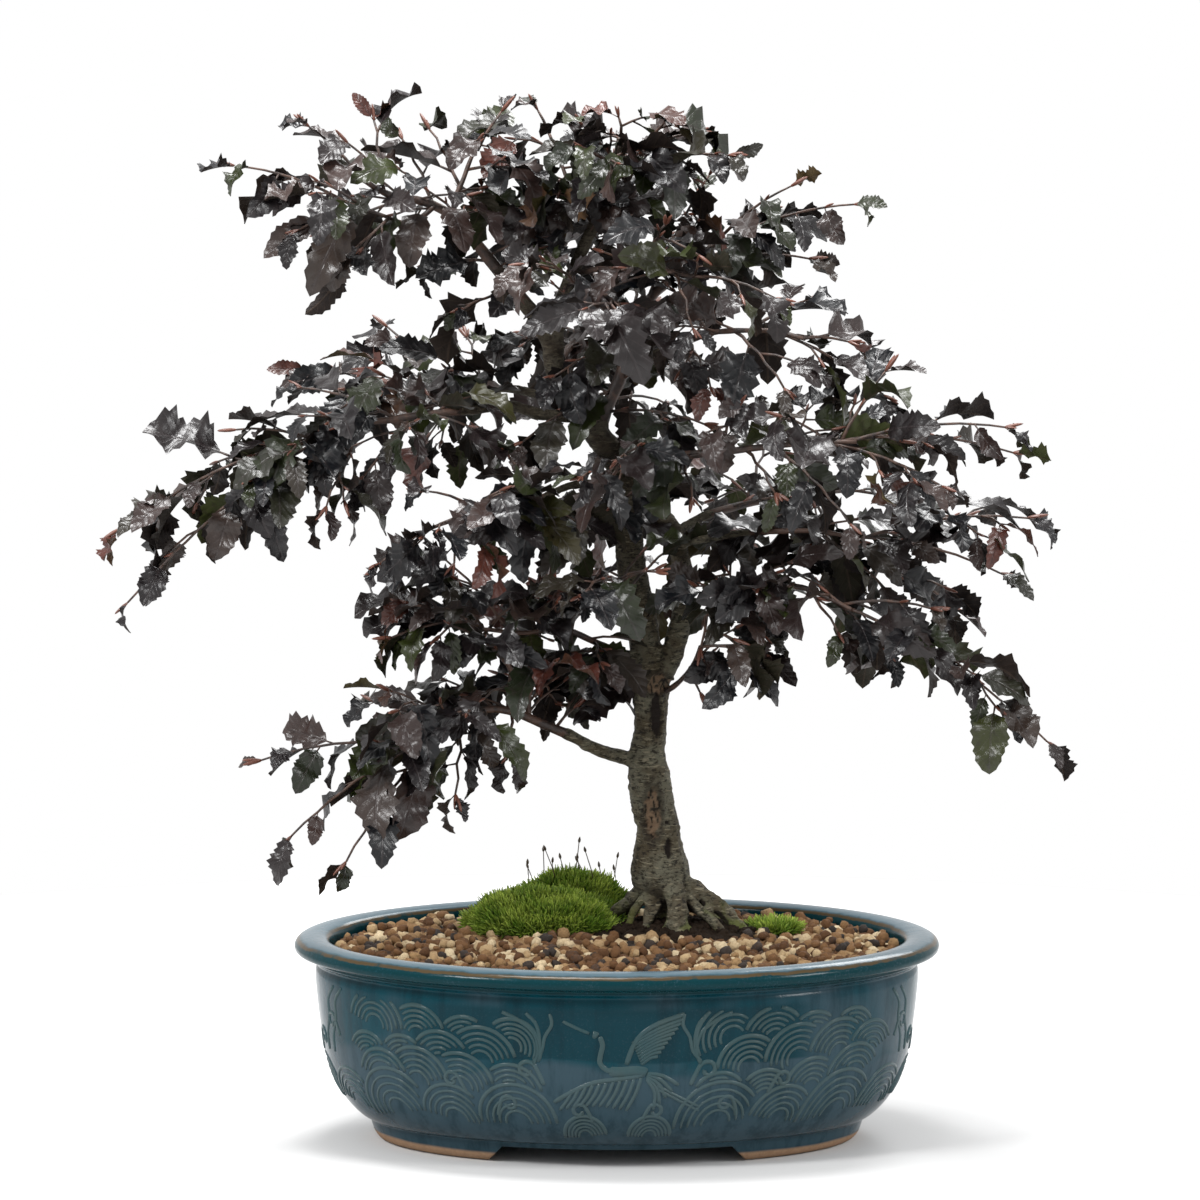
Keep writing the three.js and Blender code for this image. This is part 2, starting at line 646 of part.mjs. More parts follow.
function growShoot(name, [share, ...tip]) {
  const curve = curves[name];
  const lastShare = 1 - 3 / curve.getLength();
  const { from, steps } = sprays[name];
  const start = middleOfRod(curve, from, 1, steps, Math.min(share, lastShare));
  const end = spotOf(tip);
  const reach = start.distanceTo(end);
  for (const bow of SHOOT_BOWS) {
    const middle = start.clone().lerp(end, 0.5);
    middle.z += reach * bow;
    const way = new THREE.QuadraticBezierCurve3(start, middle, end);
    const rod = (extra) => bentRod(way, 0, 1, (along) => (
      THREE.MathUtils.lerp(SHOOT_THICK, SHOOT_TIP, along) / 2 + extra), SHOOT_SIDES, SHOOT_STEPS);
    const shoot = rod(0);
    if (isClear(shoot, [`spray_${name}`])) {
      sprays[name].body = sprays[name].body.add(shoot);
      sprays[name].shoots.push(way);
      remember(`spray_${name}`, rod(CLEARANCE));
      return;
    }
  }
}

for (const name of Object.keys(sprays)) {
  const shoots = name === 'crown' ? CROWN_SHOOTS : LIMBS[name].shoots;
  shoots.forEach((shoot) => growShoot(name, shoot));
}

// A leaf is a thin folded blade with a drooping point. Its foot starts inside the shoot.
function buildLeaf(foot, along, up, length, extra) {
  const side = up.clone().cross(along).normalize();
  const top = along.clone().cross(side).normalize();
  const half = (length * LEAF_WIDTH) / 2 + extra;
  const thick = LEAF_THICK / 2 + extra;
  const geometry = new THREE.OctahedronGeometry(1);
  const spots = geometry.attributes.position;
  for (let index = 0; index < spots.count; index += 1) {
    const x = Math.round(spots.getX(index));
    const y = Math.round(spots.getY(index));
    const z = Math.round(spots.getZ(index));
    const out = [-LEAF_FOOT - extra, length * 0.42, length + extra][x + 1];
    const lift = x > 0 ? -length * 0.16 : Math.abs(y) * length * 0.07 + z * thick;
    const spot = foot.clone();
    spot.addScaledVector(along, out);
    spot.addScaledVector(side, y * half);
    spot.addScaledVector(top, lift);
    spots.setXYZ(index, spot.x, spot.y, spot.z);
  }
  return solidOf(geometry);
}

const LEAF_TURNS = [0, 0.5, -0.5, 1, -1, 1.6, -1.6]; // radians to try around the shoot
const LEAF_DROOP = 0.35;
let leafCount = 0;

// The foot of a leaf must be in its own shoot, so only other pieces and leaves stop it.
function growLeaf(name, way, share, turned) {
  leafCount += 1;
  const foot = middleOfRod(way, 0, 1, SHOOT_STEPS, share);
  const forward = way.getTangentAt(share);
  const flat = new THREE.Vector3(forward.y, -forward.x, 0).normalize();
  const length = LEAF_LENGTH * (0.72 + 0.56 * scattered(leafCount));
  for (const turn of LEAF_TURNS) {
    const along = forward.clone().multiplyScalar(share < 1 ? 0.55 : 1.4);
    along.addScaledVector(flat.clone().applyAxisAngle(forward, turn), turned);
    along.z -= LEAF_DROOP * (0.4 + scattered(leafCount, 0.75488));
    along.normalize();
    const up = new THREE.Vector3(0.25 * Math.sin(leafCount), 0.25 * Math.cos(leafCount), 1);
    const leaf = buildLeaf(foot, along, up, length, 0);
    const blade = buildLeaf(foot.clone().addScaledVector(along, 4), along, up, length - 4, 0);
    if (isClear(leaf, [`spray_${name}`]) && isClear(blade)) {
      sprays[name].body = sprays[name].body.add(leaf);
      remember(`spray_${name}`, buildLeaf(foot, along, up, length, CLEARANCE));
      return;
    }
  }
}

for (const [name, spray] of Object.entries(sprays)) {
  for (const way of spray.shoots) {
    const count = Math.max(1, Math.round(way.getLength() / LEAF_SPACING));
    for (let index = 1; index <= count; index += 1) {
      growLeaf(name, way, index / count, index === count ? 0.2 : (-1) ** index);
    }
  }
}

for (const [name, spray] of Object.entries(sprays)) {
  addPiece(`spray_${name}`, spray.body, '#39323c', 0.45);
}

// ---- Soil, gravel and moss ----

// Height of the gravel's top over the pot's floor plan.
function gravelTop(x, y) {
  const out = Math.min(1, Math.hypot(x / LIP_HALF_LENGTH, y / (LIP_HALF_LENGTH - OVAL)));
  const dome = GRAVEL_DOME * (1 - out * out);
  const bumps = Math.sin(x * 0.31 + y * 0.13) + Math.sin(y * 0.37 - x * 0.11);
  return GRAVEL_EDGE + dome + (GRAIN / 2) * bumps * (1 - out);
}

// Half length of the pot's inside at a height between its floor and its lip.
function insideAt(height) {
  const up = (share) => FOOT_HEIGHT + (POT_HEIGHT - LIP_DROP - FOOT_HEIGHT) * share;
  const wall = [
    [INNER_FLOOR, LIP_HALF_LENGTH - 38 - POT_WALL],
    [up(0.25), LIP_HALF_LENGTH - 23 - POT_WALL],
    [up(0.44), LIP_HALF_LENGTH - 16 - POT_WALL],
    [up(0.69), LIP_HALF_LENGTH - 13 - POT_WALL],
    [POT_HEIGHT - 2, WALL_TOP],
  ];
  const above = Math.max(1, wall.findIndex(([top]) => top >= height));
  const [low, lowHalf] = wall[above - 1];
  const [high, highHalf] = wall[above];
  return THREE.MathUtils.mapLinear(height, low, high, lowHalf, highHalf);
}

function buildSoil() {
  const gap = 2 * CLEARANCE;
  const heights = [0.25, 0.44, 0.69].map((share) => (
    FOOT_HEIGHT + (POT_HEIGHT - LIP_DROP - FOOT_HEIGHT) * share));
  const low = INNER_FLOOR + CLEARANCE;
  const outline = [
    [0, low],
    [insideAt(low) - gap, low],
    ...heights.map((height) => [insideAt(height) - gap, height]),
    [insideAt(SOIL_TOP) - gap, SOIL_TOP],
    [0, SOIL_TOP],
  ];
  const around = SCREEN_SIZE + 2;
  const pocketTop = CLIP_TOP + WIRE_THICK;
  const pockets = [-1, 1].map((sign) => {
    const pocket = new THREE.BoxGeometry(around, around, 2 * (pocketTop - low));
    return solidOf(pocket.translate((sign * DRAIN_SPACING) / 2, 0, low));
  });
  return ovalTurned(outline, POT_SEGMENTS)
    .subtract(pockets[0])
    .subtract(pockets[1])
    .subtract(trunkGrown);
}

const GRAVEL_LOW = SOIL_TOP + CLEARANCE;
const GRAVEL_RINGS = 5;

function gravelBed(lift) {
  const narrowest = Math.min(insideAt(GRAVEL_LOW), insideAt(GRAVEL_EDGE + GRAVEL_DOME / 2));
  const edge = narrowest - 2 * CLEARANCE;
  const outline = [[0, GRAVEL_LOW], [edge, GRAVEL_LOW]];
  for (let ring = GRAVEL_RINGS; ring >= 0; ring -= 1) {
    outline.push([(edge * ring) / GRAVEL_RINGS, GRAVEL_EDGE]);
  }
  const points = outline.map(([radius, height]) => new THREE.Vector2(radius, height));
  const bed = madeOval(new THREE.LatheGeometry(points, POT_SEGMENTS));
  const spots = bed.attributes.position;
  for (let index = 0; index < spots.count; index += 1) {
    if (spots.getZ(index) > GRAVEL_LOW + CLEARANCE) {
      spots.setZ(index, gravelTop(spots.getX(index), spots.getY(index)) + lift);
    }
  }
  return solidOf(bed);
}

addPiece('soil', buildSoil(), '#4a3a2c', 1);
addPiece('gravel_bed', gravelBed(0).subtract(trunkGrown), '#9b8667', 0.95);

// Moss mounds: flattened balls that sit on the gravel, as [x, y] from the trunk's foot and
// half sizes [x, y, z].
const MOSS = {
  moss_front: { place: [-66, 5], half: [47, 31, 24] },
  moss_back: { place: [-52, 52], half: [34, 20, 28] },
  moss_root: { place: [62, 2], half: [13, 9, 8] },
};

// Everything under the gravel's top, with a clearance above it.
function underGravelTop() {
  const deep = new THREE.BoxGeometry(POT_LENGTH, POT_DEPTH, POT_HEIGHT);
  deep.translate(0, 0, GRAVEL_LOW + CLEARANCE - POT_HEIGHT / 2);
  return gravelBed(CLEARANCE).add(solidOf(deep));
}

function mossMound({ place, half }, extra) {
  const x = TRUNK_FOOT[0] + place[0];
  const y = TRUNK_FOOT[1] + place[1];
  const ball = new THREE.SphereGeometry(1, 12, 6).rotateX(Math.PI / 2);
  ball.scale(half[0] + extra, half[1] + extra, half[2] + extra);
  return solidOf(ball.translate(x, y, gravelTop(x, y)));
}

let taken = underGravelTop().add(trunkGrown);
for (const [name, mound] of Object.entries(MOSS)) {
  addPiece(name, biggestPiece(mossMound(mound, 0).subtract(taken)), '#6f8a2e', 1);
  taken = taken.add(mossMound(mound, CLEARANCE));
}

// The origin is at the middle of the object's box, on the table.
const box = new THREE.Box3().setFromObject(bonsai);
const middle = box.getCenter(new THREE.Vector3());
bonsai.position.set(-middle.x, -middle.y, -box.min.z);

export default bonsai;
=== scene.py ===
import bisect
import math
import random

import bmesh
import bpy
from mathutils import Matrix, Vector, kdtree, noise
from mathutils.bvhtree import BVHTree


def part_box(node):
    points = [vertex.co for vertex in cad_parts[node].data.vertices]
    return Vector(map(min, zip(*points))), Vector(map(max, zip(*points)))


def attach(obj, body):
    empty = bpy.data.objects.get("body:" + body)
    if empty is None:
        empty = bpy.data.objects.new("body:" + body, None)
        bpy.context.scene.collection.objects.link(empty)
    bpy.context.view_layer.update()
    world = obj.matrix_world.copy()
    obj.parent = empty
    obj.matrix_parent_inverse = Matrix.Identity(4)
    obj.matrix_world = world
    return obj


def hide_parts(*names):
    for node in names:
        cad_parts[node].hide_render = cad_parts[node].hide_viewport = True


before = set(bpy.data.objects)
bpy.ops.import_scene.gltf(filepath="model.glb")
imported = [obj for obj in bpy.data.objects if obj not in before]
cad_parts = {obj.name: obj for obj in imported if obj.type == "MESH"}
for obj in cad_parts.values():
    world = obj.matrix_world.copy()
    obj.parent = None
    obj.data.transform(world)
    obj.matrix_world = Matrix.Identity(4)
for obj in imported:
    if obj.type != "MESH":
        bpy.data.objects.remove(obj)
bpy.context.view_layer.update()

MM = 0.001


# ---- Camera and studio ----
# A long lens stands well back and a little above the crown, so that the rim shows as a
# shallow oval. The pale floor and the large soft lamps belong to the studio only.

pot_low, pot_high = (Vector(corner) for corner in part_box("pot"))
pot_middle = Vector(((pot_low.x + pot_high.x) / 2, (pot_low.y + pot_high.y) / 2, 0))

CAMERA_AIM = pot_middle + Vector((-0.0094, 0, 0.301))
CAMERA_PLACE = CAMERA_AIM + Vector((0, -4.5, 0.566))
CAMERA_LENS = 245.6


def in_scene(name, data):
    """A new object that holds the data, linked to the scene."""
    made = bpy.data.objects.new(name, data)
    bpy.context.scene.collection.objects.link(made)
    return made


camera = in_scene("camera", bpy.data.cameras.new("camera"))
camera.data.lens = CAMERA_LENS
camera.data.sensor_width = 36
camera.data.clip_end = 60
camera.location = CAMERA_PLACE
camera.rotation_euler = (CAMERA_AIM - CAMERA_PLACE).to_track_quat("-Z", "Y").to_euler()
bpy.context.scene.camera = camera
bpy.context.scene.view_settings.view_transform = "Standard"

# Each lamp: its place from the pot's middle, its size across, and its power in watts. They
# all point at the tree's lower half.
LAMP_AIM = Vector((0, 0, 0.25))
LAMPS = {
    "left_softbox": ((-1.5, -1.3, 1.7), 0.5, 46),
    "right_softbox": ((1.7, -0.9, 1.2), 0.5, 22),
    "top_softbox": ((-0.2, 0.1, 2.1), 0.7, 62),
    "back_softbox": ((0.7, 1.7, 1.6), 0.8, 22),
}
for name, (place, across, power) in LAMPS.items():
    lamp = in_scene(name, bpy.data.lights.new(name, "AREA"))
    lamp.data.size = across
    lamp.data.energy = power
    lamp.location = pot_middle + Vector(place)
    aim = pot_middle + LAMP_AIM - lamp.location
    lamp.rotation_euler = aim.to_track_quat("-Z", "Y").to_euler()

world = bpy.data.worlds.new("studio")
world.use_nodes = True
world.node_tree.nodes["Background"].inputs["Color"].default_value = (1, 1, 1, 1)
world.node_tree.nodes["Background"].inputs["Strength"].default_value = 1.0
bpy.context.scene.world = world


def mesh_of(bm, name):
    """A mesh with what the bmesh holds; the bmesh is freed."""
    mesh = bpy.data.meshes.new(name)
    bm.to_mesh(mesh)
    bm.free()
    return mesh


FLOOR_RADIUS = 0.9
floor_bm = bmesh.new()
bmesh.ops.create_circle(floor_bm, cap_ends=True, segments=96, radius=FLOOR_RADIUS)
floor = in_scene("floor", mesh_of(floor_bm, "floor"))
floor_white = bpy.data.materials.new("floor_white")
floor_white.use_nodes = True
for socket, value in {"Base Color": (0.56, 0.56, 0.56, 1), "Roughness": 0.9,
                      "Specular IOR Level": 0.1}.items():
    floor_white.node_tree.nodes["Principled BSDF"].inputs[socket].default_value = value
floor.data.materials.append(floor_white)


# ---- Pot ----
# A shallow oval pot of stoneware, thrown and pressed oval, with a rolled lip, a thin bead
# under it and two long feet. A teal glaze breaks to brown on the lip's edge and leaves the
# feet bare at the table.

POT_HALF = (pot_high.x - pot_low.x) / 2
OVAL = POT_HALF - (pot_high.y - pot_low.y) / 2
POT_HEIGHT = pot_high.z
FOOT_HEIGHT = 10 * MM
FLOOR_THICK = 10 * MM
FOOT_GAP_HALF = 63 * MM
FOOT_GAP_SPREAD = 9 * MM
FOOT_GAP_TOP = FOOT_HEIGHT - 0.4 * MM
DRAIN_HOLE = 8 * MM
DRAIN_HOLES_AT = (-60 * MM, 60 * MM)
CUT_THROUGH = 300 * MM

# Outline of the pot as (distance in from the lip's edge, height) in mm: from under the floor,
# round the foot, up the outside, over the lip and down the inside. Both ends join the axis.
POT_OUTLINE = [
    (70, 10), (64.4, 9), (62.6, 1.2), (60.5, 0), (49, 0), (46.2, 1.2), (43.5, 6), (42.4, 11),
    (41.6, 12.4), (39.2, 13), (36.6, 14.4), (29.5, 21), (23.2, 30.5), (19, 41), (16.3, 52),
    (14, 68), (12.4, 83), (11.6, 93), (12.2, 96.5), (13.2, 98), (12.4, 99.3), (11, 100),
    (9.8, 101), (10.6, 102.2), (9, 103.2),
    (3.4, 103.8), (0.7, 105.2), (0, 107.6), (0.7, 110.4), (3.4, 112.8), (8.6, 114),
    (14.5, 113.7), (18.6, 112.4), (20.2, 110), (21.2, 104), (22.2, 84), (26, 50),
    (33, 32), (45, 22), (56, 20), (120, 20),
]


def make_oval(point):
    """Moves a point of a round shape about the Z axis to the pot's oval."""
    radius = math.hypot(point.x, point.y)
    if radius > 0:
        point.y *= max(radius - OVAL, radius / 2) / radius


def applied_mesh(piece, name):
    """The piece's mesh with its modifiers applied; the piece itself is removed."""
    mesh = bpy.data.meshes.new_from_object(
        piece.evaluated_get(bpy.context.evaluated_depsgraph_get()))
    mesh.name = name
    bpy.data.objects.remove(piece)
    return mesh


pot_bm = bmesh.new()
outline_verts = [pot_bm.verts.new((0, 0, FOOT_HEIGHT))]
for inward, height in POT_OUTLINE:
    outline_verts.append(pot_bm.verts.new((POT_HALF - inward * MM, 0, height * MM)))
outline_verts.append(pot_bm.verts.new((0, 0, FOOT_HEIGHT + FLOOR_THICK)))
outline_edges = [pot_bm.edges.new(pair) for pair in zip(outline_verts, outline_verts[1:])]
bmesh.ops.spin(pot_bm, geom=outline_verts + outline_edges, cent=(0, 0, 0), axis=(0, 0, 1),
               angle=math.tau, steps=72, use_merge=True)
for vert in pot_bm.verts:
    make_oval(vert.co)
bmesh.ops.remove_doubles(pot_bm, verts=pot_bm.verts, dist=1e-6)
bmesh.ops.recalc_face_normals(pot_bm, faces=pot_bm.faces)
pot_shape = in_scene("pot_shape", mesh_of(pot_bm, "pot_shape"))
rounding = pot_shape.modifiers.new("rounding", "SUBSURF")
rounding.levels = rounding.render_levels = 2

# What is cut away: the opening between the two feet, wider at the table, and two drain holes.
cutter_bm = bmesh.new()
bmesh.ops.create_cube(cutter_bm, size=1)
for vert in cutter_bm.verts:
    spread = FOOT_GAP_SPREAD if vert.co.z < 0 else 0
    vert.co.x = math.copysign(FOOT_GAP_HALF + spread, vert.co.x)
    vert.co.y *= CUT_THROUGH
    vert.co.z = FOOT_GAP_TOP if vert.co.z > 0 else -1 * MM
for x in DRAIN_HOLES_AT:
    bmesh.ops.create_cone(
        cutter_bm, cap_ends=True, segments=32, radius1=DRAIN_HOLE, radius2=DRAIN_HOLE,
        depth=30 * MM, matrix=Matrix.Translation((x, 0, FOOT_HEIGHT + FLOOR_THICK)))
cutter = in_scene("cutter", mesh_of(cutter_bm, "cutter"))
cutting = pot_shape.modifiers.new("cutting", "BOOLEAN")
cutting.operation = "DIFFERENCE"
cutting.solver = "EXACT"
cutting.object = cutter
cutting.use_self = True

pot_mesh = applied_mesh(pot_shape, "glazed_pot")
bpy.data.objects.remove(cutter)
pot_mesh.transform(Matrix.Translation(pot_middle))


class Finish:
    """A material as it is mixed. A value is a plain number or colour, or a node's output."""

    def __init__(self, name, roughness, metallic=0.0, specular=0.5, color=None):
        self.material = bpy.data.materials.new(name)
        self.material.use_nodes = True
        self.tree = self.material.node_tree
        self.shader = self.tree.nodes["Principled BSDF"].inputs
        self.put(self.shader["Roughness"], roughness)
        self.put(self.shader["Metallic"], metallic)
        self.put(self.shader["Specular IOR Level"], specular)
        if color:
            self.paint(color)

    def put(self, socket, value):
        if isinstance(value, bpy.types.NodeSocket):
            self.tree.links.new(value, socket)
        elif socket.type == "RGBA":
            socket.default_value = (*value, 1)
        else:
            socket.default_value = value

    def node(self, kind, inputs, **settings):
        made = self.tree.nodes.new(kind)
        for name, value in settings.items():
            setattr(made, name, value)
        for key, value in inputs.items():
            self.put(made.inputs[key], value)
        return made

    def coords(self):
        """Where on the piece a point lies, in metres."""
        return self.node("ShaderNodeTexCoord", {}).outputs["Object"]

    def axis(self, name):
        return self.node("ShaderNodeSeparateXYZ", {"Vector": self.coords()}).outputs[name]

    def attribute(self, name):
        return self.node("ShaderNodeAttribute", {}, attribute_name=name).outputs["Fac"]

    def noise(self, scale, detail=4.0, roughness=0.6, stretch=(1, 1, 1)):
        """Cloudy noise about 0.5; a low number in the stretch draws it out along that axis."""
        placed = self.node("ShaderNodeMapping", {"Vector": self.coords(), "Scale": stretch})
        return self.node("ShaderNodeTexNoise", {
            "Vector": placed.outputs["Vector"], "Scale": scale, "Detail": detail,
            "Roughness": roughness}).outputs["Fac"]

    def calc(self, operation, first, second=0.0):
        return self.node("ShaderNodeMath", {0: first, 1: second},
                         operation=operation).outputs[0]

    def times(self, first, second):
        return self.calc("MULTIPLY", first, second)

    def plus(self, first, second):
        return self.calc("ADD", first, second)

    def minus(self, first, second):
        return self.calc("SUBTRACT", first, second)

    def fade(self, value, low, high):
        """0 below low, 1 above high, smooth between; low may be the larger one."""
        return self.node("ShaderNodeMapRange", {
            "Value": value, "From Min": low, "From Max": high},
            interpolation_type="SMOOTHSTEP").outputs["Result"]

    def blend(self, share, first, second):
        """Two colours mixed; share 0 gives the first one."""
        return self.node("ShaderNodeMix", {0: share, 6: first, 7: second},
                         data_type="RGBA").outputs[2]

    def ramp(self, share, stops):
        """The colour at a share among stops of (share, colour)."""
        made = self.node("ShaderNodeValToRGB", {"Fac": share})
        elements = made.color_ramp.elements
        while len(elements) < len(stops):
            elements.new(0.5)
        for element, (position, color) in zip(elements, stops):
            element.position = position
            element.color = (*color, 1)
        return made.outputs["Color"]

    def paint(self, color):
        self.put(self.shader["Base Color"], color)

    def bump(self, height, distance, strength=1.0):
        made = self.node("ShaderNodeBump", {
            "Height": height, "Distance": distance, "Strength": strength})
        self.put(self.shader["Normal"], made.outputs["Normal"])


def make_piece(name, mesh, *finishes):
    """A finished piece, smooth shaded, that rides on the part's one body."""
    piece = in_scene(name, mesh)
    for finish in finishes:
        mesh.materials.append(finish.material)
    mesh.polygons.foreach_set("use_smooth", [True] * len(mesh.polygons))
    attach(piece, "root")
    return piece


GLAZE_DEEP = (0.0004, 0.012, 0.018)
GLAZE_TEAL = (0.0004, 0.030, 0.042)
# Pale misty teal: the painted floor reflection low on the wall, and the glaze's pale specks.
GLAZE_MIST_AND_REFLECTION = (0.024, 0.047, 0.061)
GLAZE_SAGE = (0.060, 0.088, 0.084)
GLAZE_BROWN = (0.052, 0.036, 0.018)
GLAZE_POOLED = (0.0006, 0.022, 0.027)
GLAZE_CROWN_REFLECTION = (0.085, 0.125, 0.15)
CLAY_BARE = (0.34, 0.22, 0.135)
CLAY_DARK = (0.17, 0.1, 0.06)


def glaze_finish(name, ridge):
    """The running teal glaze; on a carved ridge it thins out to a paler sage."""
    glaze = Finish(name, 0.16, specular=0.10)
    height = glaze.axis("Z")
    runs = glaze.noise(90, 5, 0.65, (1, 1, 0.12))
    patches = glaze.noise(11, 3, 0.55)
    specks = glaze.noise(900, 2, 0.7)
    # A painted reflection of the floor lies pale and misty over the lower wall; the glaze is
    # also misty in wandering patches, and clear deep teal in a patch above.
    reflection_edge = glaze.plus(height, glaze.times(patches, 0.05))
    floor_reflection_and_mist = glaze.calc("MAXIMUM", glaze.fade(reflection_edge, 0.088, 0.080),
                       glaze.fade(patches, 0.5, 0.64))
    # A broad clear patch high on the flat of both long walls, darker teal and kept free of the
    # painted floor reflection.
    off_middle = glaze.calc("ABSOLUTE", glaze.minus(glaze.axis("X"), pot_middle.x))
    clear_patch_edge = glaze.plus(height, glaze.times(patches, 0.016))
    clear_patch = glaze.times(glaze.fade(clear_patch_edge, 0.0705, 0.0725),
                       glaze.fade(height, 0.0945, 0.0905))
    clear_patch = glaze.times(clear_patch, glaze.fade(off_middle, 0.112, 0.094))
    if ridge:
        clear_patch = glaze.times(clear_patch, 0.5)
    floor_reflection_and_mist = glaze.times(floor_reflection_and_mist, glaze.minus(1, clear_patch))
    color = glaze.blend(floor_reflection_and_mist, GLAZE_TEAL, GLAZE_MIST_AND_REFLECTION)
    color = glaze.blend(glaze.times(clear_patch, 0.45), color, GLAZE_DEEP)
    color = glaze.blend(glaze.times(glaze.fade(runs, 0.42, 0.66), 0.55), color, GLAZE_DEEP)
    color = glaze.blend(glaze.times(glaze.fade(specks, 0.55, 0.75), 0.35), color, GLAZE_MIST_AND_REFLECTION)
    if ridge:
        color = glaze.blend(glaze.plus(0.2, glaze.times(runs, 0.55)), color, GLAZE_SAGE)
    # Up the lip: thick and dark below the edge, broken to brown on it, with a painted pale
    # reflection on the crown.
    level = glaze.plus(height, glaze.times(glaze.minus(runs, 0.5), 0.0022))
    pooled = glaze.times(glaze.fade(level, 0.0995, 0.1025), glaze.fade(level, 0.1118, 0.1104))
    color = glaze.blend(glaze.times(pooled, glaze.fade(specks, 0.72, 0.5)), color, GLAZE_POOLED)
    broken = glaze.times(glaze.fade(level, 0.1104, 0.1110), glaze.fade(level, 0.1126, 0.1119))
    broken = glaze.times(broken, glaze.fade(runs, 0.2, 0.5))
    color = glaze.blend(broken, color, GLAZE_BROWN)
    crown = glaze.fade(level, 0.1118, 0.1132)
    color = glaze.blend(glaze.times(crown, 0.8), color, GLAZE_CROWN_REFLECTION)
    # The feet are wiped bare at the table.
    bare = glaze.fade(glaze.plus(height, glaze.times(patches, 0.003)), 0.0078, 0.0058)
    clay = glaze.blend(glaze.noise(420, 6, 0.7), CLAY_BARE, CLAY_DARK)
    glaze.paint(glaze.blend(bare, color, clay))
    rough = glaze.plus(0.13, glaze.times(bare, 0.6))
    glaze.put(glaze.shader["Roughness"], glaze.plus(rough, glaze.times(specks, 0.09)))
    dimples = glaze.plus(glaze.noise(160, 3, 0.5), glaze.times(specks, glaze.plus(0.08, bare)))
    glaze.bump(dimples, 0.0003, 0.55)
    return glaze


pot = make_piece("glazed_pot", pot_mesh, glaze_finish("teal_glaze", ridge=False))
# The long walls are shaded smooth; flat level faces near the table keep their edges.
pot.data.polygons.foreach_set("use_smooth", [
    abs(face.normal.z) < 0.97 or face.center.z > 0.011 for face in pot.data.polygons])
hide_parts("pot")


# ---- Carved relief ----
# A low relief is pressed into the clay wall before glazing: fans of sea waves, curling foam,
# and a flying crane in the middle of the front and of the back. The glaze runs thin on it.

# Heights on the wall are in mm from the table.
RIDGE_LOW = 17
RIDGE_HIGH = 91
WALL_MIDDLE = 60
WELL_OUTSIDE = 300 * MM
pot_faces = BVHTree.FromPolygons(
    [vert.co.copy() for vert in pot.data.vertices],
    [tuple(face.vertices) for face in pot.data.polygons])


def wall_at(turn, height):
    """The spot on the pot's outside at a turn about its middle, and the normal there."""
    outward = Vector((math.sin(turn), -math.cos(turn), 0))
    start = pot_middle + outward * WELL_OUTSIDE + Vector((0, 0, height * MM))
    spot, normal, _, _ = pot_faces.ray_cast(start, -outward)
    return spot, normal


# The way around the wall in mm, so that the relief isn't stretched on the oval's ends.
TURNS = 360
way_round = [0.0]
for step in range(TURNS):
    spot = wall_at(math.tau * step / TURNS, WALL_MIDDLE)[0]
    following = wall_at(math.tau * (step + 1) / TURNS, WALL_MIDDLE)[0]
    way_round.append(way_round[-1] + (following - spot).length / MM)
ROUND = way_round[-1]


def turn_at(along):
    """The turn about the pot at a distance along the wall from the middle of the front."""
    place = bisect.bisect_right(way_round, along % ROUND) - 1
    rest = (along % ROUND - way_round[place]) / (way_round[place + 1] - way_round[place])
    return math.tau * (place + rest) / TURNS


def gap_along(first, second):
    """How far the first spot lies from the second, the shorter way round the pot."""
    return (first - second + ROUND / 2) % ROUND - ROUND / 2


def arc(middle, radius, first, last, steps):
    """Points of an arc on the flat wall; angles in degrees, 90 is up."""
    angles = [math.radians(first + (last - first) * k / steps) for k in range(steps + 1)]
    return [(middle[0] + radius * math.cos(a), middle[1] + radius * math.sin(a))
            for a in angles]


CRANE_HALF = 52


def wave_fans():
    """The fans of waves as (along, height, radius, tilt); the later ones lie in front."""
    fans = []
    for face_middle in (0, ROUND / 2):
        for side in (-1, 1):
            for row, height in enumerate((73, 58, 43)):
                for k in range(4):
                    stray = math.sin(5.3 * k + 2.1 * row + side)
                    along = face_middle + side * (60 + 27 * k + 13 * (row % 2) + 3 * stray)
                    fans.append((along, height + 3 * stray, 18 + 2.4 * stray,
                                 20 * side + 12 * stray))
    low_count = round(ROUND / 40)
    for k in range(low_count):
        along = ROUND * (k + 0.5) / low_count
        under_crane = min(abs(gap_along(along, 0)),
                          abs(gap_along(along, ROUND / 2))) < CRANE_HALF
        stray = math.sin(2.4 * k)
        fans.append((along, 19 if under_crane else 26, 13 if under_crane else 23 + 3 * stray,
                     10 * stray))
    return fans


def wave_strokes():
    """Each fan's arcs, cut where a fan in front hides them."""
    strokes = []
    fans = wave_fans()
    for index, (along, height, radius, tilt) in enumerate(fans):
        ahead = [fan for fan in fans[index + 1:]
                 if abs(gap_along(fan[0], along)) < radius + fan[2]]
        for ring, share in enumerate((1, 0.82, 0.66, 0.5, 0.34)):
            thick = 1.5 if ring == 0 else 0.95
            stroke = []
            for spot in arc((along, height), radius * share, 2 + tilt, 178 + tilt, 18):
                hidden = any(math.hypot(gap_along(spot[0], fan[0]), spot[1] - fan[1])
                             < fan[2] + 1.5 for fan in ahead)
                if hidden or not RIDGE_LOW < spot[1] < RIDGE_HIGH:
                    strokes.append((stroke, thick))
                    stroke = []
                else:
                    stroke.append(spot)
            strokes.append((stroke, thick))
    return [(stroke, thick) for stroke, thick in strokes if len(stroke) > 2]


def curl(along, height, size, side):
    """A hook of foam: a tail that rises and winds in on itself, and its thickness."""
    points = [(along - side * size * 1.7, height - size * 1.5),
              (along - side * size * 1.35, height - size * 0.6)]
    for k in range(13):
        angle = math.radians(165 - 30 * k)
        reach = size * (1 - 0.055 * k)
        points.append((along + side * reach * math.cos(angle), height + reach * math.sin(angle)))
    return points, 1.5


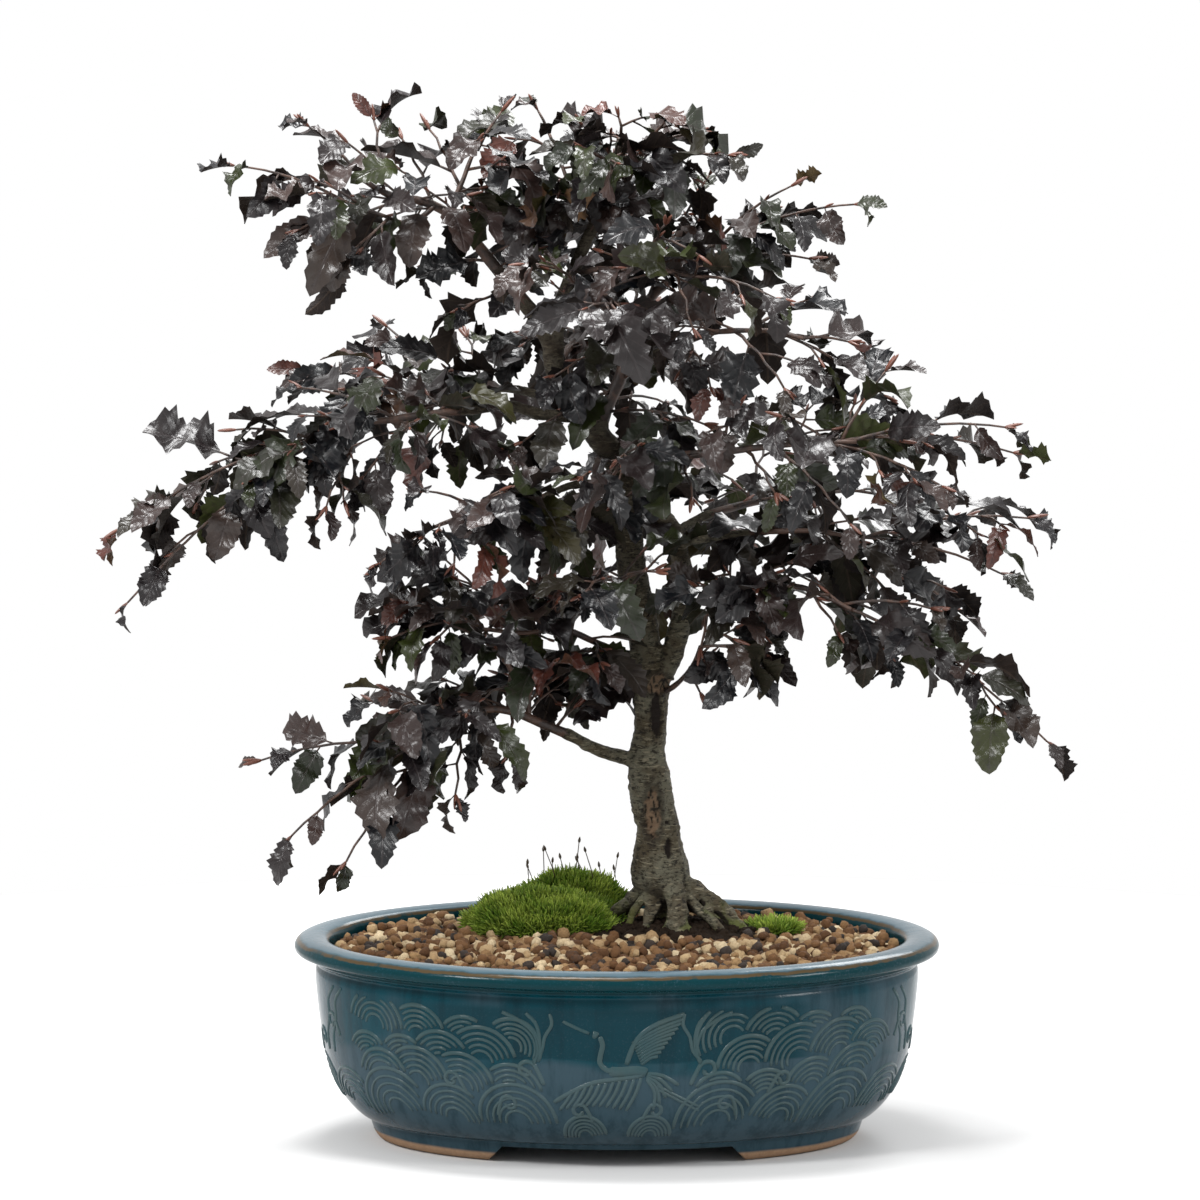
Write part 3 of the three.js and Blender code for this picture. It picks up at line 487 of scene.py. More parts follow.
def crane(middle):
    """A flying crane: its beak, head, long neck, body, raised wing, lowered wing and legs."""
    def place(points):
        return [(middle + x, z) for x, z in points]

    strokes = [
        (place([(-29, 86), (-22, 82.5), (-15, 79.5)]), 1.1),
        (place([(-14.5, 79.5), (-12, 79), (-9.5, 77.5)]), 3.2),
        (place([(-9.5, 78), (-8, 73), (-9, 68), (-9.5, 63), (-6, 59), (0, 57.5)]), 2.0),
        (place([(-6, 58.5), (2, 58), (11, 58.5), (18, 57)]), 5.5),
        (place([(5, 62), (8, 71), (13, 79), (22, 85), (36, 90)]), 1.9),
    ]
    for k in range(9):
        share = k / 8
        root = (8 + 5 * share, 74 - 12 * share)
        tip = (36 - 14 * share, 87.5 - 21 * share)
        strokes.append((place([root, ((root[0] + tip[0]) / 2, (root[1] + tip[1]) / 2 + 1.4),
                               tip]), 1.25))
    strokes.append((place([(14, 56), (2, 54), (-12, 52), (-24, 47), (-36, 40)]), 1.9))
    for k in range(11):
        share = k / 10
        root = (-25 + 38 * share, 47.5 + 7 * share ** 0.7)
        tip = (-33 + 38 * share, 35.5 + 2.5 * math.sin(math.pi * share))
        strokes.append((place([root, ((root[0] + tip[0]) / 2 + 1, (root[1] + tip[1]) / 2),
                               tip]), 1.25))
    for k in range(5):
        tip = (34 - 3.4 * k, 50 - 3.6 * k)
        strokes.append((place([(16, 57 - 0.8 * k), (25 - k, 55.5 - 2.4 * k), tip]), 1.4))
    for k in range(2):
        strokes.append((place([(22, 50 - 2 * k), (33, 44 - 2 * k), (47, 37 - 2.4 * k)]), 1.0))
    return strokes


def shore_lines(middle, side):
    """Long swaying lines of surf near the ends of the oval, with foam at their feet."""
    lines = []
    for k in range(2):
        off = middle + side * (168 + 9 * k)
        lines.append(([(off + side * 3, 92), (off + side * 11, 84), (off + side * 12, 74),
                       (off + side * 18, 64), (off + side * 20, 54)], 1.4))
    for off, height, size, hook in ((186, 72, 5, 1), (50, 58, 5.5, 1), (62, 38, 5, -1),
                                    (95, 50, 5, 1), (205, 60, 6, -1), (22, 35, 4.5, 1)):
        lines.append(curl(middle + side * off, height, size, side * hook))
    for k in range(3):
        lines.append(([(middle + side * (62 - 13 * k), 90),
                       (middle + side * (53 - 9 * k), 86 - k),
                       (middle + side * (45 - 3 * k), 79 - k), (middle + side * (43 - k), 69),
                       (middle + side * 46, 61 + k)], 1.3))
    return lines


def smooth_way(points, steps):
    """The points of a smooth curve through all the given points."""
    ends = [points[0], *points, points[-1]]
    way = []
    for before, start, stop, after in zip(ends, ends[1:], ends[2:], ends[3:]):
        for k in range(steps):
            t = k / steps
            way.append(tuple(
                0.5 * (2 * b + (c - a) * t + (2 * a - 5 * b + 4 * c - d) * t * t
                       + (3 * b - a - 3 * c + d) * t * t * t)
                for a, b, c, d in zip(before, start, stop, after)))
    return way + [tuple(points[-1])]


def rods_mesh(name, rods, sides):
    """One mesh of closed round rods; each rod is a list of (place, radius)."""
    curve = bpy.data.curves.new(name, "CURVE")
    curve.dimensions = "3D"
    curve.bevel_depth = 1
    curve.bevel_resolution = sides // 2 - 2
    curve.use_fill_caps = True
    for rod in rods:
        spline = curve.splines.new("POLY")
        spline.points.add(len(rod) - 1)
        for point, (place, radius) in zip(spline.points, rod):
            point.co = (*place, 1)
            point.radius = radius
    mesh = applied_mesh(in_scene(name, curve), name)
    bpy.data.curves.remove(curve)
    bm = bmesh.new()
    bm.from_mesh(mesh)
    # A curve's end caps come loose from its sides.
    bmesh.ops.remove_doubles(bm, verts=bm.verts, dist=2e-6)
    bmesh.ops.recalc_face_normals(bm, faces=bm.faces)
    bm.to_mesh(mesh)
    bm.free()
    return mesh


relief = wave_strokes()
for face_middle in (0, ROUND / 2):
    bends = crane(face_middle) + shore_lines(face_middle, 1) + shore_lines(face_middle, -1)
    relief += [(smooth_way(stroke, 3), thick) for stroke, thick in bends]

ridges = []
for stroke, thick in relief:
    ridge = []
    for k, (along, height) in enumerate(stroke):
        spot, normal = wall_at(turn_at(along), height)
        radius = thick * (0.75 if k in (0, len(stroke) - 1) else 1)
        # A stroke stands out by half a millimetre and more; the rest of it is in the wall.
        rise = 0.42 + 0.22 * radius
        ridge.append((spot - normal * (radius - rise) * MM, radius * MM))
    ridges.append(ridge)
relief_piece = make_piece("pressed_relief", rods_mesh("pressed_relief", ridges, 6),
                          glaze_finish("thin_glaze", ridge=True))


# ---- Drain screens, wire clips and soil ----
# Inside the pot, under the gravel: two squares of plastic mesh over the drain holes, each
# held by a bent wire, and the dark granular soil that fills the pot.

screen_plastic = Finish("screen_plastic", 0.55, color=(0.03, 0.045, 0.035))
screen_plastic.bump(screen_plastic.noise(900), 0.0002)
clip_wire = Finish("clip_wire", 0.35, metallic=1.0, color=(0.55, 0.54, 0.52))
clip_wire.bump(clip_wire.noise(1400, stretch=(1, 1, 0.1)), 0.0001)
soil_dark = Finish("soil_dark", 0.95, specular=0.1)
soil_crumbs = soil_dark.noise(260, 6, 0.75)
soil_dark.paint(soil_dark.blend(soil_crumbs, (0.004, 0.003, 0.002), (0.035, 0.022, 0.014)))
soil_dark.bump(soil_crumbs, 0.003)

for node, finish in {"drain_screen_left": screen_plastic, "drain_screen_right": screen_plastic,
                     "screen_clip_left": clip_wire, "screen_clip_right": clip_wire,
                     "soil": soil_dark}.items():
    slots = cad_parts[node].data.materials
    slots.clear()
    slots.append(finish.material)


# ---- Gravel bed ----
# A deep layer of loose grains over the soil: baked brown clay, cream pumice and a few dark
# lava stones, heaped slightly towards the trunk.

GRAVEL_EDGE = POT_HEIGHT - 10 * MM
GRAVEL_DOME = 8 * MM
GRAVEL_BANK = 3.5 * MM
BED_HALF = Vector((POT_HALF - 22 * MM, POT_HALF - 22 * MM - OVAL))
GRAIN_SIZE = (4.3 * MM, 8.2 * MM)
GRAIN_EVERY = 6.1 * MM
TRUNK_FOOT = pot_middle + Vector((26, 30, 0)) * MM
FOOT_SOIL = (43 * MM, 27 * MM)
chance = random.Random(7)


def bed_height(x, y):
    """Height of the gravel: a low dome that rises again against the pot's wall."""
    out = min(1, math.hypot((x - pot_middle.x) / POT_HALF,
                            (y - pot_middle.y) / (POT_HALF - OVAL)))
    return GRAVEL_EDGE + GRAVEL_DOME * (1 - out * out) + GRAVEL_BANK * out ** 4


moss_mounds = {}
for node in ("moss_front", "moss_back", "moss_root"):
    low, high = (Vector(corner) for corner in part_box(node))
    middle = (low + high) / 2
    moss_mounds[node] = (Vector((middle.x, middle.y, low.z)), (high - low) / 2,
                         high.z - low.z)


def under_moss(x, y):
    return any(math.hypot((x - at.x) / (half.x * 0.93), (y - at.y) / (half.y * 0.93)) < 1
               for at, half, _ in moss_mounds.values())


def at_trunk_foot(x, y):
    return math.hypot((x - TRUNK_FOOT.x - 8 * MM) / FOOT_SOIL[0],
                      (y - TRUNK_FOOT.y + 12 * MM) / FOOT_SOIL[1]) < 1


def grain_shape(seed):
    """A worn lump of a few dozen faces, 1 across."""
    bm = bmesh.new()
    bmesh.ops.create_cube(bm, size=1)
    bmesh.ops.subdivide_edges(bm, edges=bm.edges, cuts=1, use_grid_fill=True)
    for vert in bm.verts:
        rounded = vert.co.normalized() * 0.5
        vert.co = vert.co.lerp(rounded, 0.78)
        vert.co *= 1 + 0.26 * noise.noise(vert.co * 2.1 + Vector((seed * 3.7, 0, seed)))
    mesh = mesh_of(bm, f"grain_{seed}")
    mesh.attributes.new("tint", "FLOAT", "POINT")
    return mesh


def add_copy(bm, shape, place, tint):
    """Puts a copy of a small shape into a bigger mesh, with its own tint."""
    copy = shape.copy()
    copy.transform(place)
    copy.attributes["tint"].data.foreach_set("value", [tint] * len(copy.vertices))
    bm.from_mesh(copy)
    bpy.data.meshes.remove(copy)


def random_turn():
    return Matrix.Rotation(chance.uniform(0, math.tau), 4, (
        chance.uniform(-1, 1), chance.uniform(-1, 1), chance.uniform(-1, 1) or 1))


grain_shapes = [grain_shape(seed) for seed in range(8)]
gravel_bm = bmesh.new()
ROW_EVERY = GRAIN_EVERY * 0.87
rows = math.ceil(2 * BED_HALF.y / ROW_EVERY)
columns = math.ceil(2 * BED_HALF.x / GRAIN_EVERY)
# Three layers, from the lowest: how far each lies under the bed's height, and how full it is.
LAYERS = ((6.2 * MM, 1), (1.9 * MM, 0.97), (-1.4 * MM, 0.22))
for layer, (sink, share) in enumerate(LAYERS):
    for row in range(rows + 1):
        for column in range(columns + 1):
            size = chance.uniform(*GRAIN_SIZE) * (0.9 if layer == 2 else 1)
            x = (column + 0.5 * (row % 2) + 0.33 * layer) * GRAIN_EVERY - BED_HALF.x
            y = row * ROW_EVERY - BED_HALF.y + 0.3 * layer * GRAIN_EVERY
            x += chance.uniform(-0.24, 0.24) * GRAIN_EVERY
            y += chance.uniform(-0.24, 0.24) * GRAIN_EVERY
            inside = math.hypot(x / (BED_HALF.x - size * 0.45), y / (BED_HALF.y - size * 0.45))
            x += pot_middle.x
            y += pot_middle.y
            kind = chance.random()
            if inside > 1 or under_moss(x, y) or chance.random() > share:
                continue
            if layer > 0 and at_trunk_foot(x, y):
                continue
            z = bed_height(x, y) - sink + chance.uniform(-0.8, 0.8) * MM
            squash = Matrix.Diagonal((chance.uniform(0.9, 1.25), chance.uniform(0.8, 1.05),
                                      chance.uniform(0.7, 0.95), 1))
            place = (Matrix.Translation((x, y, z)) @ random_turn() @ squash
                     @ Matrix.Scale(size, 4))
            add_copy(gravel_bm, chance.choice(grain_shapes), place, kind)

grain_clay = Finish("grain_clay", 0.85, specular=0.2)
grain_pits = grain_clay.noise(700, 5, 0.75)
grain_kind = grain_clay.plus(grain_clay.attribute("tint"), grain_clay.times(
    grain_clay.minus(grain_pits, 0.5), 0.09))
grain_color = grain_clay.ramp(grain_kind, [
    (0, (0.026, 0.021, 0.018)), (0.08, (0.045, 0.035, 0.030)),
    (0.11, (0.085, 0.040, 0.018)), (0.38, (0.135, 0.066, 0.028)),
    (0.58, (0.20, 0.108, 0.048)), (0.73, (0.29, 0.18, 0.085)),
    (0.84, (0.42, 0.30, 0.165)), (1, (0.60, 0.49, 0.32))])
grain_shade = grain_clay.times(grain_clay.fade(grain_pits, 0.5, 0.3), 0.45)
grain_clay.paint(grain_clay.blend(grain_shade, grain_color, (0.05, 0.028, 0.014)))
grain_clay.bump(grain_pits, 0.0011)
gravel = make_piece("gravel_grains", mesh_of(gravel_bm, "gravel_grains"), grain_clay)
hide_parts("gravel_bed")

# Fine dark soil fills the hollow between the roots, where no gravel lies.
FOOT_MOUND = Vector((50, 34, 9)) * MM
FOOT_MOUND_DEEP = 12 * MM
foot_middle = Vector((TRUNK_FOOT.x + 6 * MM, TRUNK_FOOT.y - 8 * MM,
                      bed_height(TRUNK_FOOT.x, TRUNK_FOOT.y)))
foot_bm = bmesh.new()
bmesh.ops.create_uvsphere(foot_bm, u_segments=96, v_segments=48, radius=1)
for vert in foot_bm.verts:
    x, y = vert.co.x * FOOT_MOUND.x, vert.co.y * FOOT_MOUND.y
    z = vert.co.z * (FOOT_MOUND.z if vert.co.z > 0 else FOOT_MOUND_DEEP)
    lump = noise.noise(Vector((x, y, z)) * 160) * 3 + noise.noise(Vector((x, y, 0)) * 520) * 1.6
    vert.co = foot_middle + Vector((x, y, z + (lump - 3) * MM))
# Crumbs lie on it.
CRUMB_SIZE = (1.6, 4.2)
crumb_bm = bmesh.new()
crumb_bm.verts.layers.float.new("tint")
for _ in range(420):
    turn, out = chance.uniform(0, math.tau), math.sqrt(chance.random())
    at = foot_middle + Vector((48 * out * math.cos(turn), 32 * out * math.sin(turn),
                               8.73 * math.sqrt(1 - out * out) - 2.6)) * MM
    place = (Matrix.Translation(at) @ random_turn()
             @ Matrix.Scale(chance.uniform(*CRUMB_SIZE) * MM, 4))
    add_copy(crumb_bm, chance.choice(grain_shapes), place, 0)
crumb_mesh = mesh_of(crumb_bm, "soil_crumbs")
foot_bm.from_mesh(crumb_mesh)
bpy.data.meshes.remove(crumb_mesh)
foot_soil = make_piece("foot_soil", mesh_of(foot_bm, "foot_soil"), soil_dark)


# ---- Moss ----
# Cushions of living moss on the gravel: a firm dark mound covered in upright leafy stems,
# paler at their tips. The back cushion carries thin stalks with dark spore capsules.

SPIKE_LENGTH = (5.5 * MM, 9.5 * MM)


def spike_tuft(seed):
    """A starry tuft: seven slim closed leaves that lean out from one point, 1 long."""
    bm = bmesh.new()
    for k in range(7):
        lean = 0.1 if k == 0 else 0.5 + 0.35 * (k % 2)
        turn = Matrix.Rotation(math.tau * k / 6 + seed, 4, "Z") @ Matrix.Rotation(lean, 4, "Y")
        tall = 1 if k == 0 else 0.92 - 0.2 * (k % 2)
        place = turn @ Matrix.Translation((0, 0, tall / 2))
        bmesh.ops.create_cone(bm, cap_ends=True, segments=3, radius1=0.12, radius2=0.02,
                              depth=tall, matrix=place)
    mesh = mesh_of(bm, "spike_tuft")
    mesh.attributes.new("tint", "FLOAT", "POINT")
    height = mesh.attributes.new("height", "FLOAT", "POINT")
    height.data.foreach_set("value", [min(1, max(0, v.co.length)) for v in mesh.vertices])
    return mesh


moss_green = Finish("moss_green", 0.6, specular=0.25)
moss_green.put(moss_green.shader["Subsurface Weight"], 0.15)
moss_green.put(moss_green.shader["Subsurface Radius"], (0.002, 0.003, 0.0008))
moss_patches = moss_green.fade(moss_green.noise(55, 3), 0.4, 0.62)
moss_low = moss_green.blend(moss_patches, (0.006, 0.022, 0.001), (0.014, 0.045, 0.002))
moss_pale = moss_green.plus(moss_green.times(moss_green.attribute("tint"), 0.6),
                            moss_green.times(moss_patches, 0.4))
moss_tip = moss_green.blend(moss_pale, (0.085, 0.19, 0.008), (0.50, 0.60, 0.10))
moss_green.paint(moss_green.blend(
    moss_green.calc("POWER", moss_green.attribute("height"), 1.9), moss_low, moss_tip))

tufts = [spike_tuft(seed) for seed in range(3)]
TUFT_COUNT = {"moss_front": 1900, "moss_back": 1150, "moss_root": 190}
# Tufts follow a sunflower's spiral over the mound, so that they stand evenly.
SPIRAL_TURN = 2.399963


def mound_spot(at, half, height, dome, share):
    """A point of a lumpy mound, in the direction of a point of a unit dome."""
    lump = 0.94 + 0.2 * noise.noise(dome * 2.6 + at * 40)
    return Vector((at.x + dome.x * half.x * share * lump, at.y + dome.y * half.y * share * lump,
                   at.z + dome.z * height * lump))


for node, (at, half, tall) in moss_mounds.items():
    moss_bm = bmesh.new()
    bmesh.ops.create_uvsphere(moss_bm, u_segments=40, v_segments=20, radius=1)
    for vert in moss_bm.verts:
        height = tall - 6 * MM if vert.co.z > 0 else 4 * MM
        vert.co = mound_spot(at, half, height, vert.co, 0.97)
    moss_mesh = mesh_of(moss_bm, node)
    moss_mesh.attributes.new("tint", "FLOAT", "POINT")
    moss_mesh.attributes.new("height", "FLOAT", "POINT")
    moss_bm = bmesh.new()
    moss_bm.from_mesh(moss_mesh)
    for k in range(TUFT_COUNT[node]):
        turn = k * SPIRAL_TURN
        level = 1 - (k + 0.5) / TUFT_COUNT[node]
        out = math.sqrt(1 - level * level)
        dome = Vector((out * math.cos(turn), out * math.sin(turn), level))
        root = mound_spot(at, half, tall - 6.5 * MM, dome, 0.96)
        lean = Vector((dome.x, dome.y, 0.5 + dome.z)) + Vector(
            (chance.uniform(-0.4, 0.4), chance.uniform(-0.4, 0.4), 0))
        place = (Matrix.Translation(root) @ lean.to_track_quat("Z", "Y").to_matrix().to_4x4()
                 @ Matrix.Rotation(chance.uniform(0, 2), 4, "Z")
                 @ Matrix.Scale(chance.uniform(*SPIKE_LENGTH), 4))
        # Tufts low on the cushion get darker tips: painted shade towards its foot.
        add_copy(moss_bm, tufts[k % 3], place, chance.random() * min(1, 0.25 + 1.3 * level))
    moss_bm.to_mesh(moss_mesh)
    moss_bm.free()
    moss = make_piece(f"living_{node}", moss_mesh, moss_green)
    moss.data.polygons.foreach_set("use_smooth", [False] * len(moss.data.polygons))
    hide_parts(node)

# Spore stalks: thin wiry stems with a small dark capsule, from the back cushion's crown.
stalk_brown = Finish("stalk_brown", 0.5, color=(0.05, 0.032, 0.016))
STALK_COUNT = 13
back_at, back_half, back_tall = moss_mounds["moss_back"]
stalk_rods = []
for k in range(STALK_COUNT):
    share = -0.72 + 1.5 * k / (STALK_COUNT - 1)
    root = back_at + Vector((share * back_half.x, chance.uniform(-0.35, 0.3) * back_half.y,
                             back_tall * 0.72 * math.sqrt(1 - share * share)))
    tall = chance.uniform(13, 24) * MM
    sway = Vector((chance.uniform(-0.45, 0.3), chance.uniform(-0.2, 0.2), 1)).normalized()
    tip = root + sway * tall
    bend = root.lerp(tip, 0.5) + Vector((0.6 * MM, 0, 0))
    stalk_rods.append([(root, 0.34 * MM), (bend, 0.3 * MM), (tip, 0.26 * MM)])
    stalk_rods.append([(tip + sway * reach * MM, radius * MM) for reach, radius in
                       ((-0.3, 0.25), (0.5, 0.75), (1.5, 0.8), (2.6, 0.45), (3.3, 0.12))])
stalks = make_piece("spore_stalks", rods_mesh("spore_stalks", stalk_rods, 6), stalk_brown)


# ---- Wood ----
# The bare trunk, its roots and the woody stretch of each main limb: grey-brown beech bark,
# finely wrinkled across the grain, with two old wounds on the front and mossy roots. It is
# one living body, so it is grown as one piece.

# Bends of the trunk as (x, y, z, radius), in mm from its foot, z from the gravel's edge.
TRUNK = [
    (0, 0, -30, 4), (0, 0, 4, 5), (0, 0, 20, 8), (-1, 0, 32, 15), (-2, 0, 42, 16.5),
    (-3, 0, 52, 14), (-3, 0, 65, 11.8), (-6, 0, 78, 12.5), (-8, -1, 92, 12), (-9, -1, 107, 10.2),
    (-7, -1, 122, 9.3), (-7, -2, 136, 10.2), (-9, -2, 151, 10.8), (-10, -3, 165, 9),
    (-13, -4, 187, 8.4), (-18, -5, 212, 8.3), (-20, -7, 245, 7.8), (-20, -8, 261, 7.4),
    (-41, -12, 293, 7.1), (-51, -12, 308, 6.8), (-60, -12, 325, 6.3), (-61, -12, 340, 5.6),
    (-58, -13, 356, 4.7), (-45, -15, 391, 3.6), (-30, -18, 422, 3.2), (-24, -22, 453, 2.2),
]

# Roots: radius at both ends and the bends from the trunk down into the soil.
ROOTS = [
    ((6.6, 4.4), [(3, -4, 38), (6, -16, 26), (8.5, -25, 12), (9, -31, 0), (9, -36, -18)]),
    ((6, 3.4), [(6, 0, 36), (20, -5, 29), (32, -9, 20), (43, -12, 8), (50, -14, -12)]),
    ((3.4, 2.2), [(10, -8, 30), (22, -16, 19), (33, -23, 9), (42, -28, -4)]),
    ((4.6, 2.6), [(-8, -3, 34), (-19, -1, 23), (-30, 2, 13), (-42, 4, -8)]),
    ((2.6, 1.6), [(-10, -8, 30), (-17, -13, 18), (-22, -16, 8), (-27, -18, -4)]),
    ((2.2, 1.4), [(-2, -12, 24), (-10, -20, 12), (-19, -25, 5), (-28, -28, -3)]),
    ((6, 3), [(-4, 8, 34), (-16, 20, 22), (-24, 30, 10), (-32, 40, -12)]),
    ((6.5, 3.5), [(5, 6, 34), (15, 20, 22), (26, 32, 10), (32, 42, -12)]),
    ((1.8, 1.2), [(4, -18, 20), (-1, -26, 8), (-4, -30, 0), (-6, -33, -6)]),
    ((1.8, 1.2), [(12, -24, 14), (17, -29, 6), (20, -33, 0), (22, -36, -6)]),
    ((2.4, 1.5), [(-8, -10, 28), (-9, -19, 12), (-11, -24, 2), (-13, -28, -8)]),
    ((1.8, 1.2), [(24, -9, 26), (27, -17, 14), (29, -22, 5), (31, -26, -5)]),
]

